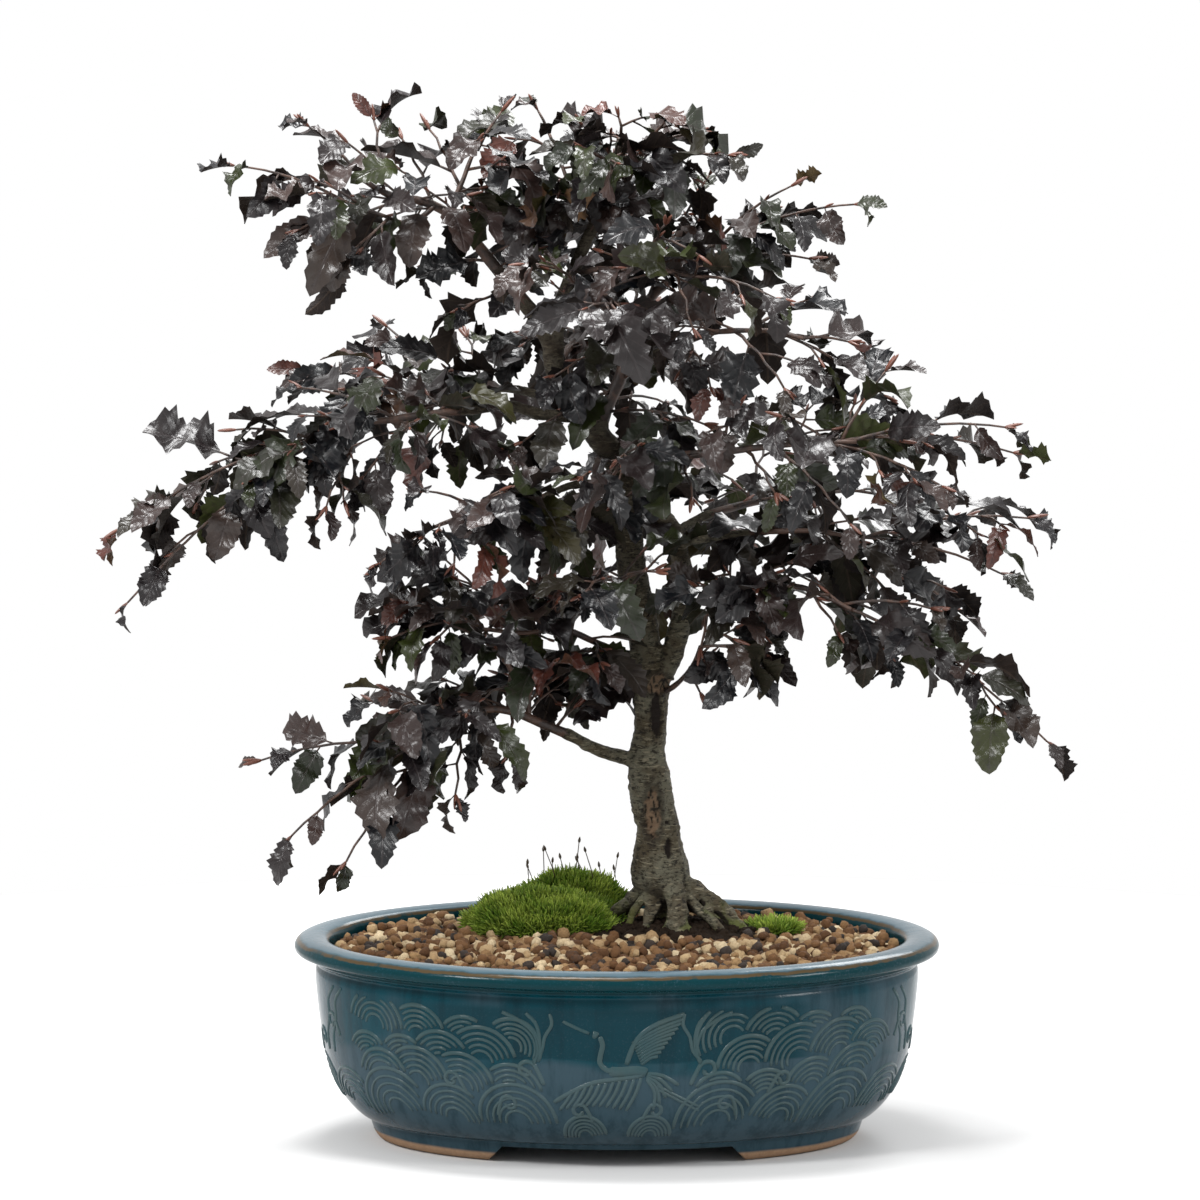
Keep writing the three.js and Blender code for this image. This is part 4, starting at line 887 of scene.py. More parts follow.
# Limbs: what each grows on, whether its inner stretch is bare wood, its radius at both ends,
# its bends, and its shoots as (share of the limb's length, tip x, y, z). Sizes are in mm.
LIMBS = {
    "riser": ("trunk", True, (6.5, 4.5), [
        (0, -3, 143), (5, -5, 163), (10, -6, 186), (10, -6, 208), (8, -6, 226), (0, -6, 240),
        (-20, -8, 257),
    ], [
    ]),
    "second_leader": ("trunk", True, (4.4, 1.8), [
        (-34, -11, 285), (-29, -6, 308), (-23, -2, 324), (-18, 2, 344), (-6, 6, 364),
        (10, 8, 375), (30, 6, 394),
    ], [
        (1, 70, -10, 425), (0.95, 105, -10, 415), (0.85, 80, -10, 385), (0.6, 25, 5, 430),
        (0.5, -15, 40, 390), (0.75, 55, 40, 385), (0.1, 22, -40, 296), (0.3, 32, -22, 322),
        (0.2, -78, -38, 286), (0.4, -60, -30, 322), (0.15, 0, 40, 300),
    ]),
    "low_left": ("trunk", True, (4.2, 1.4), [
        (-10, -1, 102), (-35, -8, 110), (-69, -24, 128), (-96, -39, 138), (-116, -46, 130),
        (-135, -52, 118),
    ], [
        (1, -222, -62, 112), (0.95, -205, -75, 72), (0.9, -175, -78, 58), (0.85, -150, -60, 150),
        (0.8, -115, -75, 95), (0.6, -85, -50, 115), (0.9, -160, -30, 140), (0.4, -50, -20, 135),
        (0.95, -145, -40, 90),
    ]),
    "mid_left": ("trunk", True, (2.2, 1.2), [
        (-11, -3, 163), (-26, -14, 166), (-41, -26, 174), (-58, -36, 182), (-76, -44, 181),
        (-101, -54, 184),
    ], [
        (1, -140, -70, 200), (0.6, -60, -60, 210), (0.35, -35, -50, 165), (0.85, -120, -40, 220),
    ]),
    "front_left": ("trunk", True, (2.8, 1.2), [
        (-20, -8, 264), (-52, -40, 261), (-84, -64, 249), (-103, -72, 250), (-123, -80, 245),
    ], [
        (1, -155, -90, 225), (0.55, -85, -65, 280), (0.8, -130, -95, 265), (0.9, -115, -90, 225),
    ]),
    "long_left": ("trunk", True, (3.6, 1.5), [
        (-44, -12, 295), (-66, -18, 299), (-85, -26, 304), (-118, -40, 302), (-146, -44, 300),
        (-170, -48, 297), (-194, -52, 288),
    ], [
        (1, -235, -60, 295), (0.95, -300, -60, 240), (0.9, -295, -65, 200),
        (0.8, -185, -80, 255), (0.6, -165, -65, 270), (0.5, -150, -15, 315),
        (0.95, -225, -75, 270), (0.7, -200, -30, 315),
    ]),
    "back_left": ("trunk", True, (3, 1.3), [
        (-51, -12, 305), (-69, 4, 307), (-85, 18, 309), (-105, 32, 309), (-131, 48, 308),
        (-157, 62, 310),
    ], [
        (1, -200, 75, 315), (0.75, -155, 65, 340), (0.5, -110, 55, 335), (0.9, -185, 80, 285),
        (0.6, -125, 75, 275),
    ]),
    "high_left": ("trunk", True, (5, 1.6), [
        (-60, -12, 333), (-69, -12, 350), (-83, -10, 368), (-100, -10, 388), (-121, -16, 412),
        (-150, -28, 421), (-166, -36, 430),
    ], [
        (1, -195, -40, 460), (0.9, -160, -20, 462), (0.7, -145, 5, 450), (0.4, -130, 0, 380),
        (0.25, -110, -40, 360), (0.8, -185, -15, 400),
    ]),
    "front_right": ("trunk", True, (3.6, 1.2), [
        (-28, -10, 277), (-13, -30, 279), (9, -52, 280), (41, -72, 285), (74, -88, 291),
        (104, -98, 293),
    ], [
        (1, 185, -95, 300), (0.95, 190, -85, 285), (0.95, 120, -90, 330), (0.85, 150, -115, 270),
        (0.6, 60, -105, 265), (0.5, 40, -85, 310), (0.7, 100, -120, 250), (0.35, 15, -80, 260),
    ]),
    "mid_right": ("riser", True, (2.6, 1.3), [
        (10, -6, 209), (28, -20, 207), (39, -32, 204), (51, -44, 207), (76, -56, 207),
        (102, -70, 197),
    ], [
        (1, 210, -80, 125), (0.95, 145, -90, 200), (0.75, 95, -75, 185), (0.45, 60, -60, 215),
        (0.9, 120, -60, 175), (0.3, 55, -50, 180),
    ]),
    "back_right": ("riser", True, (3, 1.4), [
        (5, -6, 231), (20, 16, 237), (43, 34, 243), (72, 50, 245), (103, 62, 248),
    ], [
        (1, 150, 65, 235), (0.7, 110, 80, 285), (0.5, 60, 75, 275), (0.85, 95, 75, 205),
        (0.35, 30, 55, 210),
    ]),
    "knuckle_right": ("riser", True, (2.4, 1.2), [
        (9, -6, 225), (27, -22, 230), (53, -32, 235), (83, -38, 237), (109, -42, 232),
    ], [
        (1, 200, -50, 245), (0.95, 185, -55, 215), (0.75, 130, -30, 195), (0.5, 65, -40, 260),
        (0.85, 160, -5, 190),
    ]),
    "upper_right": ("second_leader", True, (2.6, 1.2), [
        (-23, -2, 324), (-2, -22, 335), (24, -42, 346), (51, -58, 350), (77, -70, 346),
    ], [
        (1, 100, -75, 345), (0.85, 120, -70, 315), (0.65, 65, -80, 320), (0.4, 25, -75, 320),
        (0.75, 80, -40, 365),
    ]),
    "low_left_riser": ("low_left", False, (1.8, 1.2), [
        (-83, -32, 137), (-85, -34, 151), (-87, -38, 163), (-108, -50, 188),
    ], [
        (1, -150, -60, 180), (0.6, -125, -50, 215), (0.8, -80, -60, 200), (1, -140, -25, 195),
    ]),
    "low_left_mid": ("low_left", False, (1.8, 1), [
        (-76, -28, 133), (-74, -26, 143), (-69, -22, 156), (-64, -16, 164),
    ], [
        (1, -50, -10, 160), (0.6, -60, 5, 135),
    ]),
    "high_left_upright": ("high_left", False, (1.8, 1), [
        (-117, -14, 409), (-115, -12, 420), (-110, -10, 431), (-103, -8, 445),
    ], [
        (1, -90, -5, 466), (0.45, -130, 10, 455), (0.7, -80, -25, 435),
    ]),
    "high_left_side": ("high_left", False, (1.6, 0.9), [
        (-124, -18, 413), (-139, -34, 407), (-156, -44, 412), (-172, -52, 418),
    ], [
        (1, -235, -60, 440), (0.6, -165, -55, 395), (0.85, -200, -60, 405),
    ]),
    "mid_right_down": ("mid_right", False, (1.4, 0.9), [
        (39, -32, 204), (31, -44, 198), (23, -54, 190),
    ], [
        (1, 20, -65, 175),
    ]),
    "low_right": ("trunk", False, (1.8, 1), [
        (-4, -2, 138), (3, -8, 145), (10, -18, 152), (17, -28, 162), (20, -36, 172),
    ], [
        (1, 50, -50, 170), (0.6, 20, -25, 145), (0.85, 40, -15, 190),
    ]),
    "upper_front_right": ("trunk", False, (2, 1.1), [
        (-51, -14, 375), (-30, -42, 382), (-5, -64, 384), (22, -80, 381),
    ], [
        (1, 60, -90, 370), (0.6, 0, -90, 410), (0.8, 15, -105, 355),
    ]),
    "crown_right": ("trunk", False, (2, 1), [
        (-33, -17, 416), (-22, -22, 426), (-13, -26, 443), (-6, -30, 455),
    ], [
        (1, 0, -35, 462), (0.55, 35, -50, 445), (0.8, 15, -20, 455), (0.35, -45, -60, 450),
    ]),
    "crown_left": ("trunk", False, (1.6, 0.9), [
        (-39, -16, 406), (-50, -2, 421), (-58, 6, 438), (-64, 10, 454),
    ], [
        (1, -70, 10, 466), (0.5, -90, -5, 435), (0.8, -90, 20, 455),
    ]),
    "crown_back": ("trunk", False, (2, 1.2), [
        (-42, -15, 397), (-32, 30, 400), (-20, 70, 399),
    ], [
        (1, -10, 105, 405), (0.7, -60, 90, 395),
    ]),
    "back_mid": ("trunk", False, (3, 1.5), [
        (-21, -6, 233), (-13, 36, 241), (1, 78, 245),
    ], [
        (1, 25, 110, 250), (0.6, -40, 90, 240),
    ]),
    "back_high": ("trunk", False, (3, 1.4), [
        (-59, -12, 328), (-47, 32, 337), (-32, 74, 343),
    ], [
        (1, -5, 105, 350), (0.6, -80, 90, 335), (0.85, -35, 110, 305),
    ]),
    "back_low": ("trunk", False, (2.4, 1.2), [
        (-13, -4, 184), (-29, 36, 185), (-47, 74, 185),
    ], [
        (1, -65, 105, 180), (0.6, -15, 90, 205),
    ]),
    "front_mid": ("trunk", False, (2.6, 1.2), [
        (-20, -7, 242), (-27, -48, 263), (-35, -84, 276),
    ], [
        (1, -45, -115, 275), (0.7, -15, -100, 290),
    ]),
    "front_low": ("trunk", False, (2, 1), [
        (-15, -4, 196), (-24, -44, 208), (-32, -76, 215),
    ], [
        (1, -45, -110, 210), (0.7, -5, -90, 220),
    ]),
    "front_high": ("trunk", False, (2, 1), [
        (-59, -13, 358), (-44, -50, 366), (-32, -84, 371),
    ], [
        (1, -25, -115, 360), (0.6, -65, -90, 390),
    ]),
}


def tree_spot(point):
    """A place given in mm from the trunk's foot, with z from the gravel's edge."""
    return Vector((TRUNK_FOOT.x + point[0] * MM, TRUNK_FOOT.y + point[1] * MM,
                   GRAVEL_EDGE + point[2] * MM))


def place_on(way, share):
    """The point of a way at a share of its length."""
    lengths = [math.dist(a[:3], b[:3]) for a, b in zip(way, way[1:])]
    left = share * sum(lengths)
    for start, stop, length in zip(way, way[1:], lengths):
        if left <= length:
            return tuple(a + (b - a) * left / length for a, b in zip(start, stop))
        left -= length
    return way[-1]


def fade_in(low, high, value):
    """0 at low, 1 at high, smooth between and level outside; low may be the larger one."""
    share = min(1, max(0, (value - low) / (high - low)))
    return share * share * (3 - 2 * share)


trunk_way = smooth_way(TRUNK, 5)
limb_ways = {"trunk": [point[:3] for point in trunk_way]}
for name, (parent, _, _, bends, _) in LIMBS.items():
    foot = min(limb_ways[parent], key=lambda spot: math.dist(spot, bends[0]))
    limb_ways[name] = smooth_way([foot, *bends[1:]], 5)

BARE_SHORT = 8


def bare_share(name):
    """Share of a limb's length that is bare wood, which ends shortly before its first shoot."""
    _, woody, _, _, shoots = LIMBS[name]
    if not woody:
        return 0
    if not shoots:
        return 1
    length = sum(math.dist(a, b) for a, b in zip(limb_ways[name], limb_ways[name][1:]))
    return min(shoot[0] for shoot in shoots) - BARE_SHORT / length


def limb_rod(name, first, last, steps):
    """Rod of a limb's stretch, a little kinked, as living wood is."""
    low, high = LIMBS[name][2]
    rod = []
    for k in range(steps + 1):
        share = first + (last - first) * k / steps
        spot = tree_spot(place_on(limb_ways[name], share))
        sway = Vector([noise.noise(spot * 45 + Vector((0, 0, axis * 9))) for axis in range(3)])
        radius = (low + (high - low) * share) * (1 + 0.16 * noise.noise(spot * 130))
        rod.append((spot + sway * 1.6 * MM, radius * MM))
    return rod


wood_rods = [[(tree_spot(p[:3]), p[3] * MM) for p in trunk_way]]
for radii, bends in ROOTS:
    root_way = smooth_way(bends, 5)
    wood_rods.append([
        (tree_spot(p) + Vector((noise.noise(Vector(p) * 0.09), 0, 0)) * 2 * MM,
         (radii[0] + (radii[1] - radii[0]) * k / (len(root_way) - 1))
         * (1 + 0.2 * noise.noise(Vector(p) * 0.15)) * MM)
        for k, p in enumerate(root_way)])
for name, (_, woody, _, bends, _) in LIMBS.items():
    if woody:
        rod = limb_rod(name, 0, min(1, bare_share(name) + 0.02), 4 * len(bends))
        # A collar of swollen wood where the limb leaves the trunk.
        for k in (0, 1, 2):
            rod[k] = (rod[k][0], rod[k][1] * (1.35 - 0.12 * k))
        wood_rods.append(rod)

wood_shape = in_scene("wood_shape", rods_mesh("wood_shape", wood_rods, 12))
growing_together = wood_shape.modifiers.new("growing_together", "REMESH")
growing_together.mode = "VOXEL"
growing_together.voxel_size = 1.05 * MM
wood_mesh = applied_mesh(wood_shape, "wood")

# Old wounds on the front of the trunk as (x, z, half width, half height): the lower one is
# ragged and pale, the pit beside it small, the upper one a dark sunken streak.
WOUNDS = {
    "pale": (-6, 75, 4.8, 15),
    "pit": (2, 69, 1.6, 1.5),
    "low_crack": (3, 55, 2.2, 6),
    "streak": (-4, 130, 3.6, 13),
    "torn_collar": (-3, 147, 7, 6),
}
thickness_at = kdtree.KDTree(sum(len(rod) for rod in wood_rods))
rod_radii = []
for rod in wood_rods:
    for spot, radius in rod:
        thickness_at.insert(spot, len(rod_radii))
        rod_radii.append(radius)
thickness_at.balance()

# Marks for the bark's colours. Heights are in mm from the gravel's edge: the trunk's foot is
# fluted, with painted shade between the roots and under them, and mossy lower down.
FLUTED_UNDER = 52
SHADE_UNDER = 46
MOSSY_UNDER = 34
ROOT_GAP = 17
wood_marks = {name: [] for name in ("pale", "hollow", "mossy")}
wood_spots = []
wood_faces = BVHTree.FromPolygons([vert.co for vert in wood_mesh.vertices],
                                  [face.vertices for face in wood_mesh.polygons])
for vert in wood_mesh.vertices:
    spot, normal = vert.co, vert.normal
    radius = rod_radii[thickness_at.find(spot)[1]]
    x, z = (spot.x - TRUNK_FOOT.x) / MM, (spot.z - GRAVEL_EDGE) / MM
    size = min(1, radius / (11 * MM))
    # Wrinkles across the grain, long low ridges along it, and small warts.
    wrinkles = noise.noise(Vector((spot.x * 130, spot.y * 130, spot.z * 520)))
    ridges = noise.noise(Vector((spot.x * 160, spot.y * 160, spot.z * 28)))
    warts = max(0, noise.noise(spot * 240) - 0.22)
    lift = (0.5 * wrinkles + 0.9 * ridges * size + 1.7 * warts) * MM * (0.25 + 0.75 * size)
    if z < FLUTED_UNDER:
        flutes = noise.noise(Vector((spot.x * 95, spot.y * 95, spot.z * 20)))
        lift += ((2.6 * flutes + 1.3 * noise.noise(spot * 190)) * MM * size
                 * fade_in(FLUTED_UNDER, MOSSY_UNDER, z))
    pale = hollow = 0
    if z < SHADE_UNDER:
        # Painted shade wherever a root faces another one closely, or faces down.
        across = wood_faces.ray_cast(spot + normal * 0.3 * MM, normal, ROOT_GAP * MM)[3]
        if across is not None:
            hollow = 0.95 * fade_in(ROOT_GAP, 5, across / MM)
        hollow = max(hollow, 0.7 * fade_in(0.0, -0.6, normal.z) * fade_in(SHADE_UNDER, 30, z))
    if normal.y < 0.1 and size > 0.5:
        for kind, (mid_x, mid_z, wide, tall) in WOUNDS.items():
            ragged = 0.35 * noise.noise(Vector((x * 0.35, 0, z * 0.3 + mid_z)))
            away = math.hypot((x - mid_x) / wide, (z - mid_z) / tall) + ragged
            inside = fade_in(1.05, 0.82, away)
            rim = fade_in(1.5, 1.15, away) - inside
            # Sunken cracks, pits and streaks are painted dark: their own colour and painted
            # shade in the recess.
            if kind in ("pale", "torn_collar"):
                crack = fade_in(0.16, 0.04, abs(noise.noise(Vector((x * 0.3, 3, z * 0.13)))))
                pale = max(pale, inside * (1 - crack))
                hollow = max(hollow, inside * crack, rim * 0.6)
                lift += (0.9 * rim - 0.9 * inside - 0.9 * inside * crack) * MM
            else:
                hollow = max(hollow, inside)
                lift += (0.5 * rim - 1.5 * inside) * MM
    wood_marks["pale"].append(pale)
    wood_marks["hollow"].append(min(1, hollow))
    patch = noise.noise(spot * 75) + 0.45 * noise.noise(spot * 260)
    wood_marks["mossy"].append(fade_in(MOSSY_UNDER, 6, z) * fade_in(-0.12, 0.3, patch))
    wood_spots += (spot + normal * lift)[:]
wood_mesh.vertices.foreach_set("co", wood_spots)
for name, values in wood_marks.items():
    wood_mesh.attributes.new(name, "FLOAT", "POINT").data.foreach_set("value", values)


bark = Finish("beech_bark", 0.75, specular=0.2)
blotches = bark.noise(60, 4, 0.6)
grain = bark.noise(260, 6, 0.72, (1, 1, 1.9))
pale_lines = bark.noise(170, 3, 0.6, (1, 1, 5))
color = bark.blend(bark.fade(blotches, 0.38, 0.62), (0.070, 0.056, 0.034),
                   (0.125, 0.118, 0.084))
color = bark.blend(bark.times(bark.fade(grain, 0.52, 0.40), 0.9), color, (0.012, 0.010, 0.007))
color = bark.blend(bark.times(bark.fade(pale_lines, 0.56, 0.66), 0.7), color,
                   (0.25, 0.22, 0.15))
young = bark.times(bark.fade(bark.axis("Z"), 0.25, 0.42), 0.7)
color = bark.blend(young, color, (0.030, 0.021, 0.015))
color = bark.blend(bark.times(bark.attribute("mossy"), 0.85), color,
                   bark.blend(grain, (0.025, 0.04, 0.005), (0.14, 0.155, 0.03)))
color = bark.blend(bark.attribute("pale"), color,
                   bark.blend(grain, (0.06, 0.034, 0.02), (0.24, 0.165, 0.105)))
# Near black where shade is painted between and under the roots, and on the wounds' dark parts.
bark.paint(bark.blend(bark.attribute("hollow"), color, (0.012, 0.008, 0.006)))
bark.bump(bark.plus(grain, bark.times(pale_lines, 0.7)), 0.002)
wood = make_piece("wood", wood_mesh, bark)
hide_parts("trunk", *[f"branch_{name}" for name, limb in LIMBS.items() if limb[1]])


# ---- Leafy sprays ----
# The outer end of each limb with its thin red-brown shoots, slim pointed buds and leaves:
# toothed oval purple beech leaves, glossy and nearly black above, browner below, quilted
# between their side veins. Each spray grows as one piece with its limb's end.

LEAF_ROWS = 16
LEAF_THICK = 0.014
LEAF_STALK = 0.14
LEAF_MARKS = ("along", "across", "tint")
UPPER, UNDER, WOODY, BUD = range(4)


def leaf_shape(seed):
    """A leaf 1 long from its stalk's foot, along +X, upper side up: two sheets that meet at a
    toothed rim, folded along the midrib, bent and wavy."""
    vary = random.Random(seed)
    wide = vary.uniform(0.20, 0.31)
    fold = math.radians(vary.uniform(4, 30))
    bend = math.radians(vary.uniform(10, 95))
    twist = math.radians(vary.uniform(-30, 30))
    tooth = vary.uniform(0.10, 0.32)
    wave = vary.uniform(0.08, 0.26)
    phases = (vary.uniform(0, 6), vary.uniform(0, 6))

    def rib(along):
        """Point, forward and up directions of the midrib."""
        turned = bend * along
        reach = LEAF_STALK + (1 - LEAF_STALK) * along
        spot = Vector((reach - reach * turned * turned / 8, 0, -reach * turned / 2))
        forward = Vector((math.cos(turned), 0, -math.sin(turned)))
        return spot, forward, Vector((math.sin(turned), 0, math.cos(turned)))

    bm = bmesh.new()
    along_layer = bm.verts.layers.float.new("along")
    across_layer = bm.verts.layers.float.new("across")
    bm.verts.layers.float.new("tint")
    for upper in (True, False):
        sheet = bmesh.ops.create_grid(bm, x_segments=LEAF_ROWS, y_segments=2, size=1)["verts"]
        for face in {face for vert in sheet for face in vert.link_faces}:
            face.material_index = UPPER if upper else UNDER
        for vert in sheet:
            row = round((vert.co.x + 1) / 2 * LEAF_ROWS)
            side = round(vert.co.y)
            along = row / LEAF_ROWS
            half = wide * math.sin(math.pi * along ** 0.92) ** 0.62 if 0 < along < 1 else 0
            if row % 2 == 1:
                half *= 1.06
                along += 0.04 * (1 - along)
            elif 0 < row < LEAF_ROWS:
                half *= 1 - tooth * (1 - 0.3 * along)
                along += 0.008
            spot, forward, up = rib(along)
            if side == 0:
                vert.co = spot + up * LEAF_THICK * (0.5 if upper else -0.8)
            else:
                ripple = wave * half * math.sin(along * 13 + phases[side > 0]) * 2
                turned = twist * along * side
                vert.co = (spot + Vector((0, side * half * math.cos(fold), 0))
                           + up * (half * math.sin(fold + turned) + ripple)
                           - forward * half * 0.1)
            vert[along_layer] = along
            vert[across_layer] = side * half
    bmesh.ops.remove_doubles(bm, verts=bm.verts, dist=1e-5)
    stem = bmesh.ops.create_cone(
        bm, cap_ends=True, segments=3, radius1=0.02, radius2=0.014, depth=LEAF_STALK * 1.12,
        matrix=(Matrix.Translation((LEAF_STALK * 0.56, 0, 0))
                @ Matrix.Rotation(math.pi / 2, 4, "Y")))
    for face in {face for vert in stem["verts"] for face in vert.link_faces}:
        face.material_index = WOODY
    bmesh.ops.recalc_face_normals(bm, faces=bm.faces)
    for edge in bm.edges:
        edge.smooth = len({face.material_index for face in edge.link_faces}) == 1
    return mesh_of(bm, f"leaf_{seed}")


def bud_shape():
    """A slim pointed bud, 1 long, along +X."""
    bm = bmesh.new()
    bmesh.ops.create_uvsphere(bm, u_segments=5, v_segments=5, radius=0.5)
    for vert in bm.verts:
        swell = 0.2 * (1 - 0.35 * vert.co.z)
        vert.co = Vector((vert.co.z + 0.46, vert.co.x * swell, vert.co.y * swell))
    for name in LEAF_MARKS:
        bm.verts.layers.float.new(name)
    for face in bm.faces:
        face.material_index = BUD
    return mesh_of(bm, "bud")


def leaf_finish(name, upper):
    leaf = Finish(name, 0.3, specular=0.38 if upper else 0.15)
    crinkle = leaf.noise(210, 4, 0.6)
    outward = leaf.calc("ABSOLUTE", leaf.attribute("across"))
    # Side veins leave the midrib at a slant and run out to the teeth.
    vein_row = leaf.minus(leaf.times(leaf.attribute("along"), 6.5), leaf.times(outward, 9))
    vein_row = leaf.plus(vein_row, leaf.times(crinkle, 0.35))
    vein_off = leaf.calc("PINGPONG", vein_row, 0.5)
    side_vein = leaf.fade(vein_off, 0.075, 0.0)
    midrib = leaf.fade(outward, 0.022, 0.006)
    veins = leaf.calc("MAXIMUM", midrib, leaf.times(side_vein, 0.7))
    if upper:
        stops = [(0, (0.0022, 0.0030, 0.0042)), (0.35, (0.010, 0.0065, 0.0065)),
                 (0.55, (0.032, 0.0190, 0.0160)), (0.72, (0.0080, 0.0110, 0.0050)),
                 (0.88, (0.020, 0.026, 0.0050)), (0.94, (0.036, 0.0110, 0.0075)),
                 (1, (0.07, 0.020, 0.013))]
        blotch, vein = (0.013, 0.0085, 0.0080), (0.040, 0.031, 0.031)
    else:
        stops = [(0, (0.010, 0.0075, 0.0070)), (0.5, (0.018, 0.012, 0.0095)),
                 (0.8, (0.013, 0.014, 0.0060)), (0.9, (0.030, 0.036, 0.009)),
                 (1, (0.07, 0.024, 0.015))]
        blotch, vein = (0.024, 0.017, 0.013), (0.05, 0.034, 0.024)
    color = leaf.blend(leaf.times(leaf.fade(crinkle, 0.5, 0.7), 0.5),
                       leaf.ramp(leaf.attribute("tint"), stops), blotch)
    leaf.paint(leaf.blend(leaf.times(veins, 0.3 if upper else 0.5), color, vein))
    leaf.put(leaf.shader["Roughness"], leaf.plus(0.18 if upper else 0.45,
                                                 leaf.times(crinkle, 0.3)))
    # The blade swells between the veins; below, the veins stand out instead.
    quilt = leaf.calc("POWER", leaf.times(vein_off, 2), 0.6)
    quilt = leaf.minus(quilt, leaf.times(midrib, 0.8))
    quilt = leaf.plus(leaf.times(quilt, 0.4), crinkle)
    leaf.bump(quilt, 0.0006 if upper else -0.0007, 0.75)
    return leaf


shoot_bark = Finish("shoot_bark", 0.55)
shoot_bark.paint(shoot_bark.blend(shoot_bark.fade(shoot_bark.noise(120, 4), 0.4, 0.6),
                                  (0.022, 0.013, 0.010), (0.070, 0.036, 0.024)))
shoot_bark.bump(shoot_bark.noise(500, stretch=(1, 1, 2)), 0.0004)
bud_red = Finish("bud_red", 0.42)
bud_red.paint(bud_red.blend(bud_red.noise(300), (0.050, 0.016, 0.010), (0.17, 0.060, 0.036)))
# In the order of UPPER, UNDER, WOODY and BUD.
spray_finishes = [leaf_finish("leaf_upper", True), leaf_finish("leaf_under", False),
                  shoot_bark, bud_red]
leaf_shapes = [leaf_shape(seed) for seed in range(9)]
bud = bud_shape()

# Growth, in mm: the steps between leaves, and their mean length, its spread and its limit.
LEAF_EVERY = 8.4
LEAF_LENGTH = (45, 10)
LEAF_LONGEST = 62
BUD_LENGTH = (7, 13)
# Few leaves hang in front of the bare trunk and the riser beside it.
BARE_HALF = 30
BARE_FROM, BARE_TO = 128, 262
BARE_CHANCE = 0.8
UP = Vector((0, 0, 1))


def facing(direction, roll, normal=UP):
    """Turn that lays +X along a direction with +Z near a normal, rolled about +X."""
    forward = direction.normalized()
    side = normal.cross(forward)
    if side.length < 0.05:
        side = Vector((0, 1, 0)).cross(forward)
    side.normalize()
    turn = Matrix((forward, side, forward.cross(side))).transposed().to_4x4()
    return turn @ Matrix.Rotation(roll, 4, "X")


def add_leaf(bm, at, direction, size, vary, young=False):
    x, y, z = (at - tree_spot((0, 0, 0))) / MM
    if (abs(x) < BARE_HALF and y < 0 and BARE_FROM < z < BARE_TO
            and vary.random() < BARE_CHANCE):
        return
    outward = Vector((direction.x, direction.y, 0)).normalized()
    normal = UP + outward * vary.uniform(-0.2, 0.6) + Vector((0, -0.45, 0)) * vary.random()
    roll = vary.gauss(0, 0.5)
    place = Matrix.Translation(at) @ facing(direction, roll, normal) @ Matrix.Scale(size, 4)
    tint = vary.uniform(0.92, 1) if young else 0.9 * vary.random() ** 1.2
    add_copy(bm, vary.choice(leaf_shapes), place, tint)


def add_bud(bm, at, direction, size, vary):
    place = (Matrix.Translation(at) @ facing(direction, vary.uniform(0, 3))
             @ Matrix.Scale(size, 4))
    add_copy(bm, bud, place, 0.5)


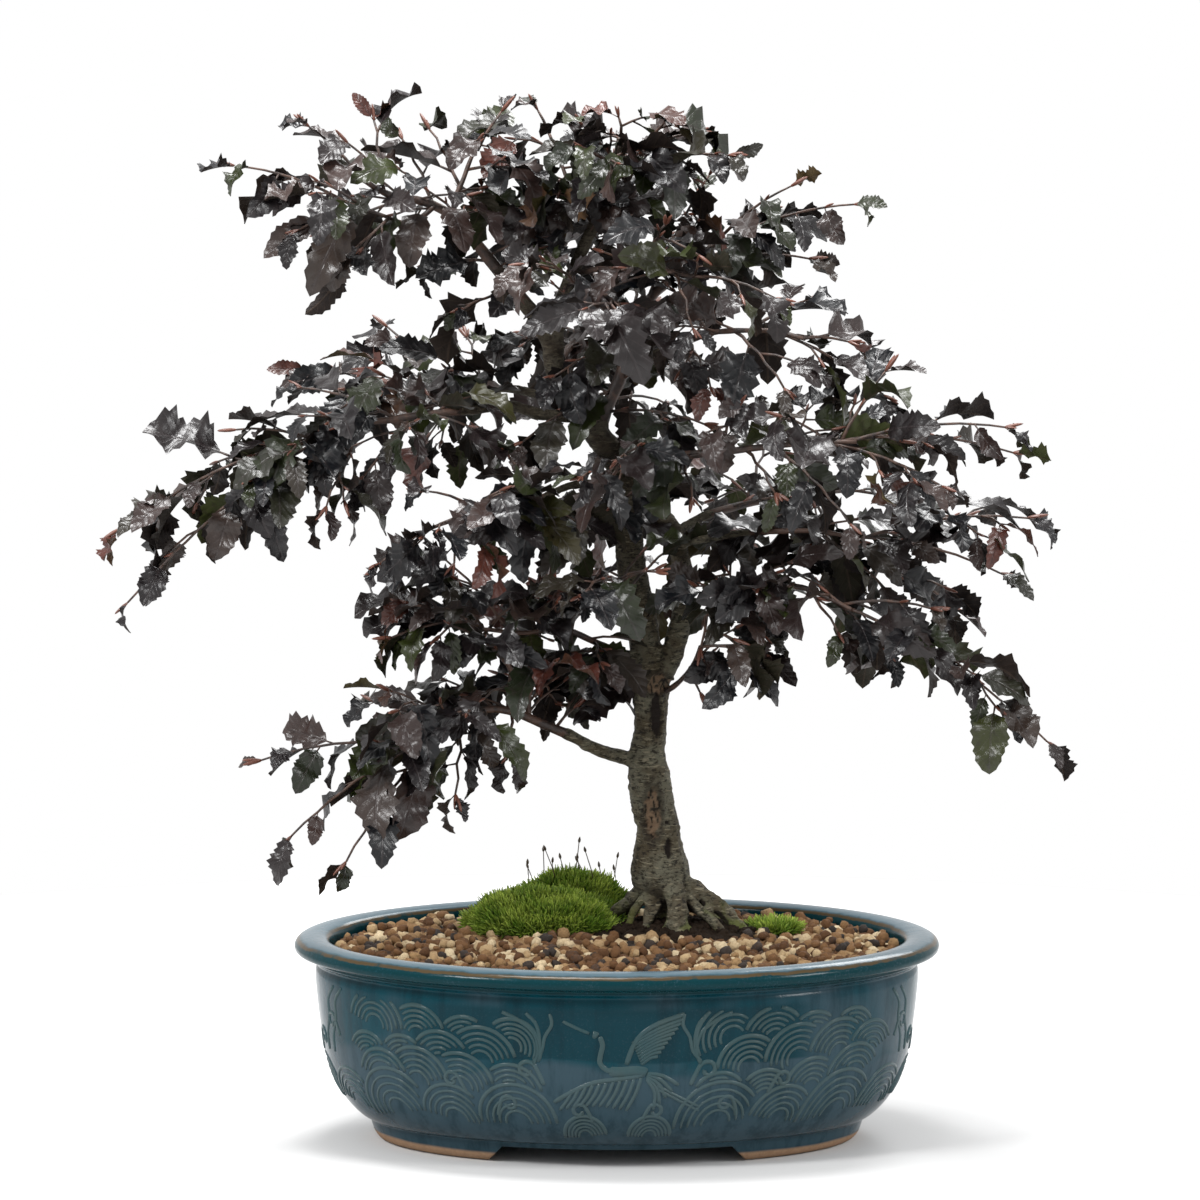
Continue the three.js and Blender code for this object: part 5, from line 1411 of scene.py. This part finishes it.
def leafy_shoot(bm, rods, start, stop, vary, thick, twigs):
    """A shoot with alternate leaves, some on short side twigs, and buds at its tip."""
    reach = (stop - start).length
    middle = start.lerp(stop, 0.5) + UP * reach * 0.12
    count = max(2, round(reach / (LEAF_EVERY * MM)))
    flat = (stop - start).cross(UP)
    flat = flat.normalized() if flat.length > 1e-6 else Vector((0, 1, 0))
    rod = []
    zigzag = 1
    for k in range(count + 1):
        t = k / count
        spot = start * (1 - t) ** 2 + middle * 2 * t * (1 - t) + stop * t * t
        spot += flat * zigzag * 0.9 * MM * (0 < k < count)
        ahead = (middle - start) * (1 - t) + (stop - middle) * t
        ahead.normalize()
        rod.append((spot, (thick * (1 - t) + 0.6 * t) * MM))
        if 0 < k < count and t < (0.88 if twigs else 1) and vary.random() < 0.84 - 0.28 * t:
            side = flat * zigzag + Vector((0, -0.3, 0)) * vary.random()
            direction = (ahead * vary.uniform(0.4, 1.1) + side * 0.8
                         + UP * vary.uniform(-0.75, 0.45))
            if twigs and t < 0.75 and vary.random() < 0.36:
                twig_tip = spot + direction.normalized() * vary.uniform(14, 28) * MM
                leafy_shoot(bm, rods, spot, twig_tip, vary, 0.75, twigs=False)
            else:
                size = min(LEAF_LONGEST, vary.gauss(*LEAF_LENGTH)) * MM * (1 - 0.48 * t)
                add_leaf(bm, spot, direction, size, vary)
            if vary.random() < 0.22:
                add_bud(bm, spot, ahead + side * 0.6 + UP * 0.3, vary.uniform(6, 10) * MM, vary)
        zigzag = -zigzag
    rods.append(rod)
    young = vary.random() < 0.12
    for turn in (-0.7, 0.75):
        if vary.random() < 0.8:
            direction = ahead + flat * turn + UP * vary.uniform(-0.6, 0.4)
            size = vary.uniform(16, 28) if twigs else vary.uniform(25, 40)
            add_leaf(bm, stop, direction, size * MM, vary, young)
    for turn in (0, -0.3, 0.35):
        if turn == 0 or (twigs and vary.random() < 0.7):
            lean = flat * (turn + vary.uniform(-0.1, 0.1)) + UP * vary.uniform(0, 0.4)
            add_bud(bm, stop, ahead + lean, vary.uniform(*BUD_LENGTH) * MM, vary)


def inner_leaves(bm, rods, rod, vary, often):
    """Short leafy twigs around a limb's own wood, which fill the crown's middle."""
    for k in range(1, len(rod) - 1):
        if vary.random() > often:
            continue
        start = rod[k][0]
        turn = vary.uniform(0, math.tau)
        direction = Vector((math.cos(turn), math.sin(turn) - 0.25, vary.uniform(-0.3, 0.9)))
        tip = start + direction.normalized() * vary.uniform(16, 34) * MM
        leafy_shoot(bm, rods, start, tip, vary, 0.8, twigs=False)


def grow_spray(name, limb_stretch, shoots):
    """One spray: a limb's outer rod, and shoots given as (start, tip)."""
    vary = random.Random(name)
    spray_bm = bmesh.new()
    for layer in LEAF_MARKS:
        spray_bm.verts.layers.float.new(layer)
    rods = [limb_stretch]
    inner_leaves(spray_bm, rods, limb_stretch, vary, 0.4)
    for start, tip in shoots:
        leafy_shoot(spray_bm, rods, start, tree_spot(tip), vary, 1.05, twigs=True)
    wood_part = rods_mesh("spray_wood", rods, 6)
    for layer in LEAF_MARKS:
        wood_part.attributes.new(layer, "FLOAT", "POINT")
    wood_part.polygons.foreach_set("material_index", [WOODY] * len(wood_part.polygons))
    spray_bm.from_mesh(wood_part)
    bpy.data.meshes.remove(wood_part)
    spray = make_piece(f"leafy_{name}", mesh_of(spray_bm, f"leafy_{name}"), *spray_finishes)
    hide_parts(f"spray_{name}")


CROWN_START = 0.89
crown_shoots = [(1, -25, -25, 464), (0.97, -45, -30, 460), (0.93, -15, 15, 440)]
crown_way = [place_on(trunk_way, CROWN_START + (1 - CROWN_START) * k / 6) for k in range(7)]
crown_rod = [(tree_spot(p[:3]), p[3] * MM) for p in crown_way]
grow_spray("crown", crown_rod, [
    (tree_spot(place_on(trunk_way, share)[:3]), tip) for share, *tip in crown_shoots])
for name, (_, _, _, _, shoots) in LIMBS.items():
    if shoots:
        stretch = limb_rod(name, bare_share(name), 1, 14)
        grow_spray(name, stretch, [
            (tree_spot(place_on(limb_ways[name], min(share, 0.99))), tip)
            for share, *tip in shoots])
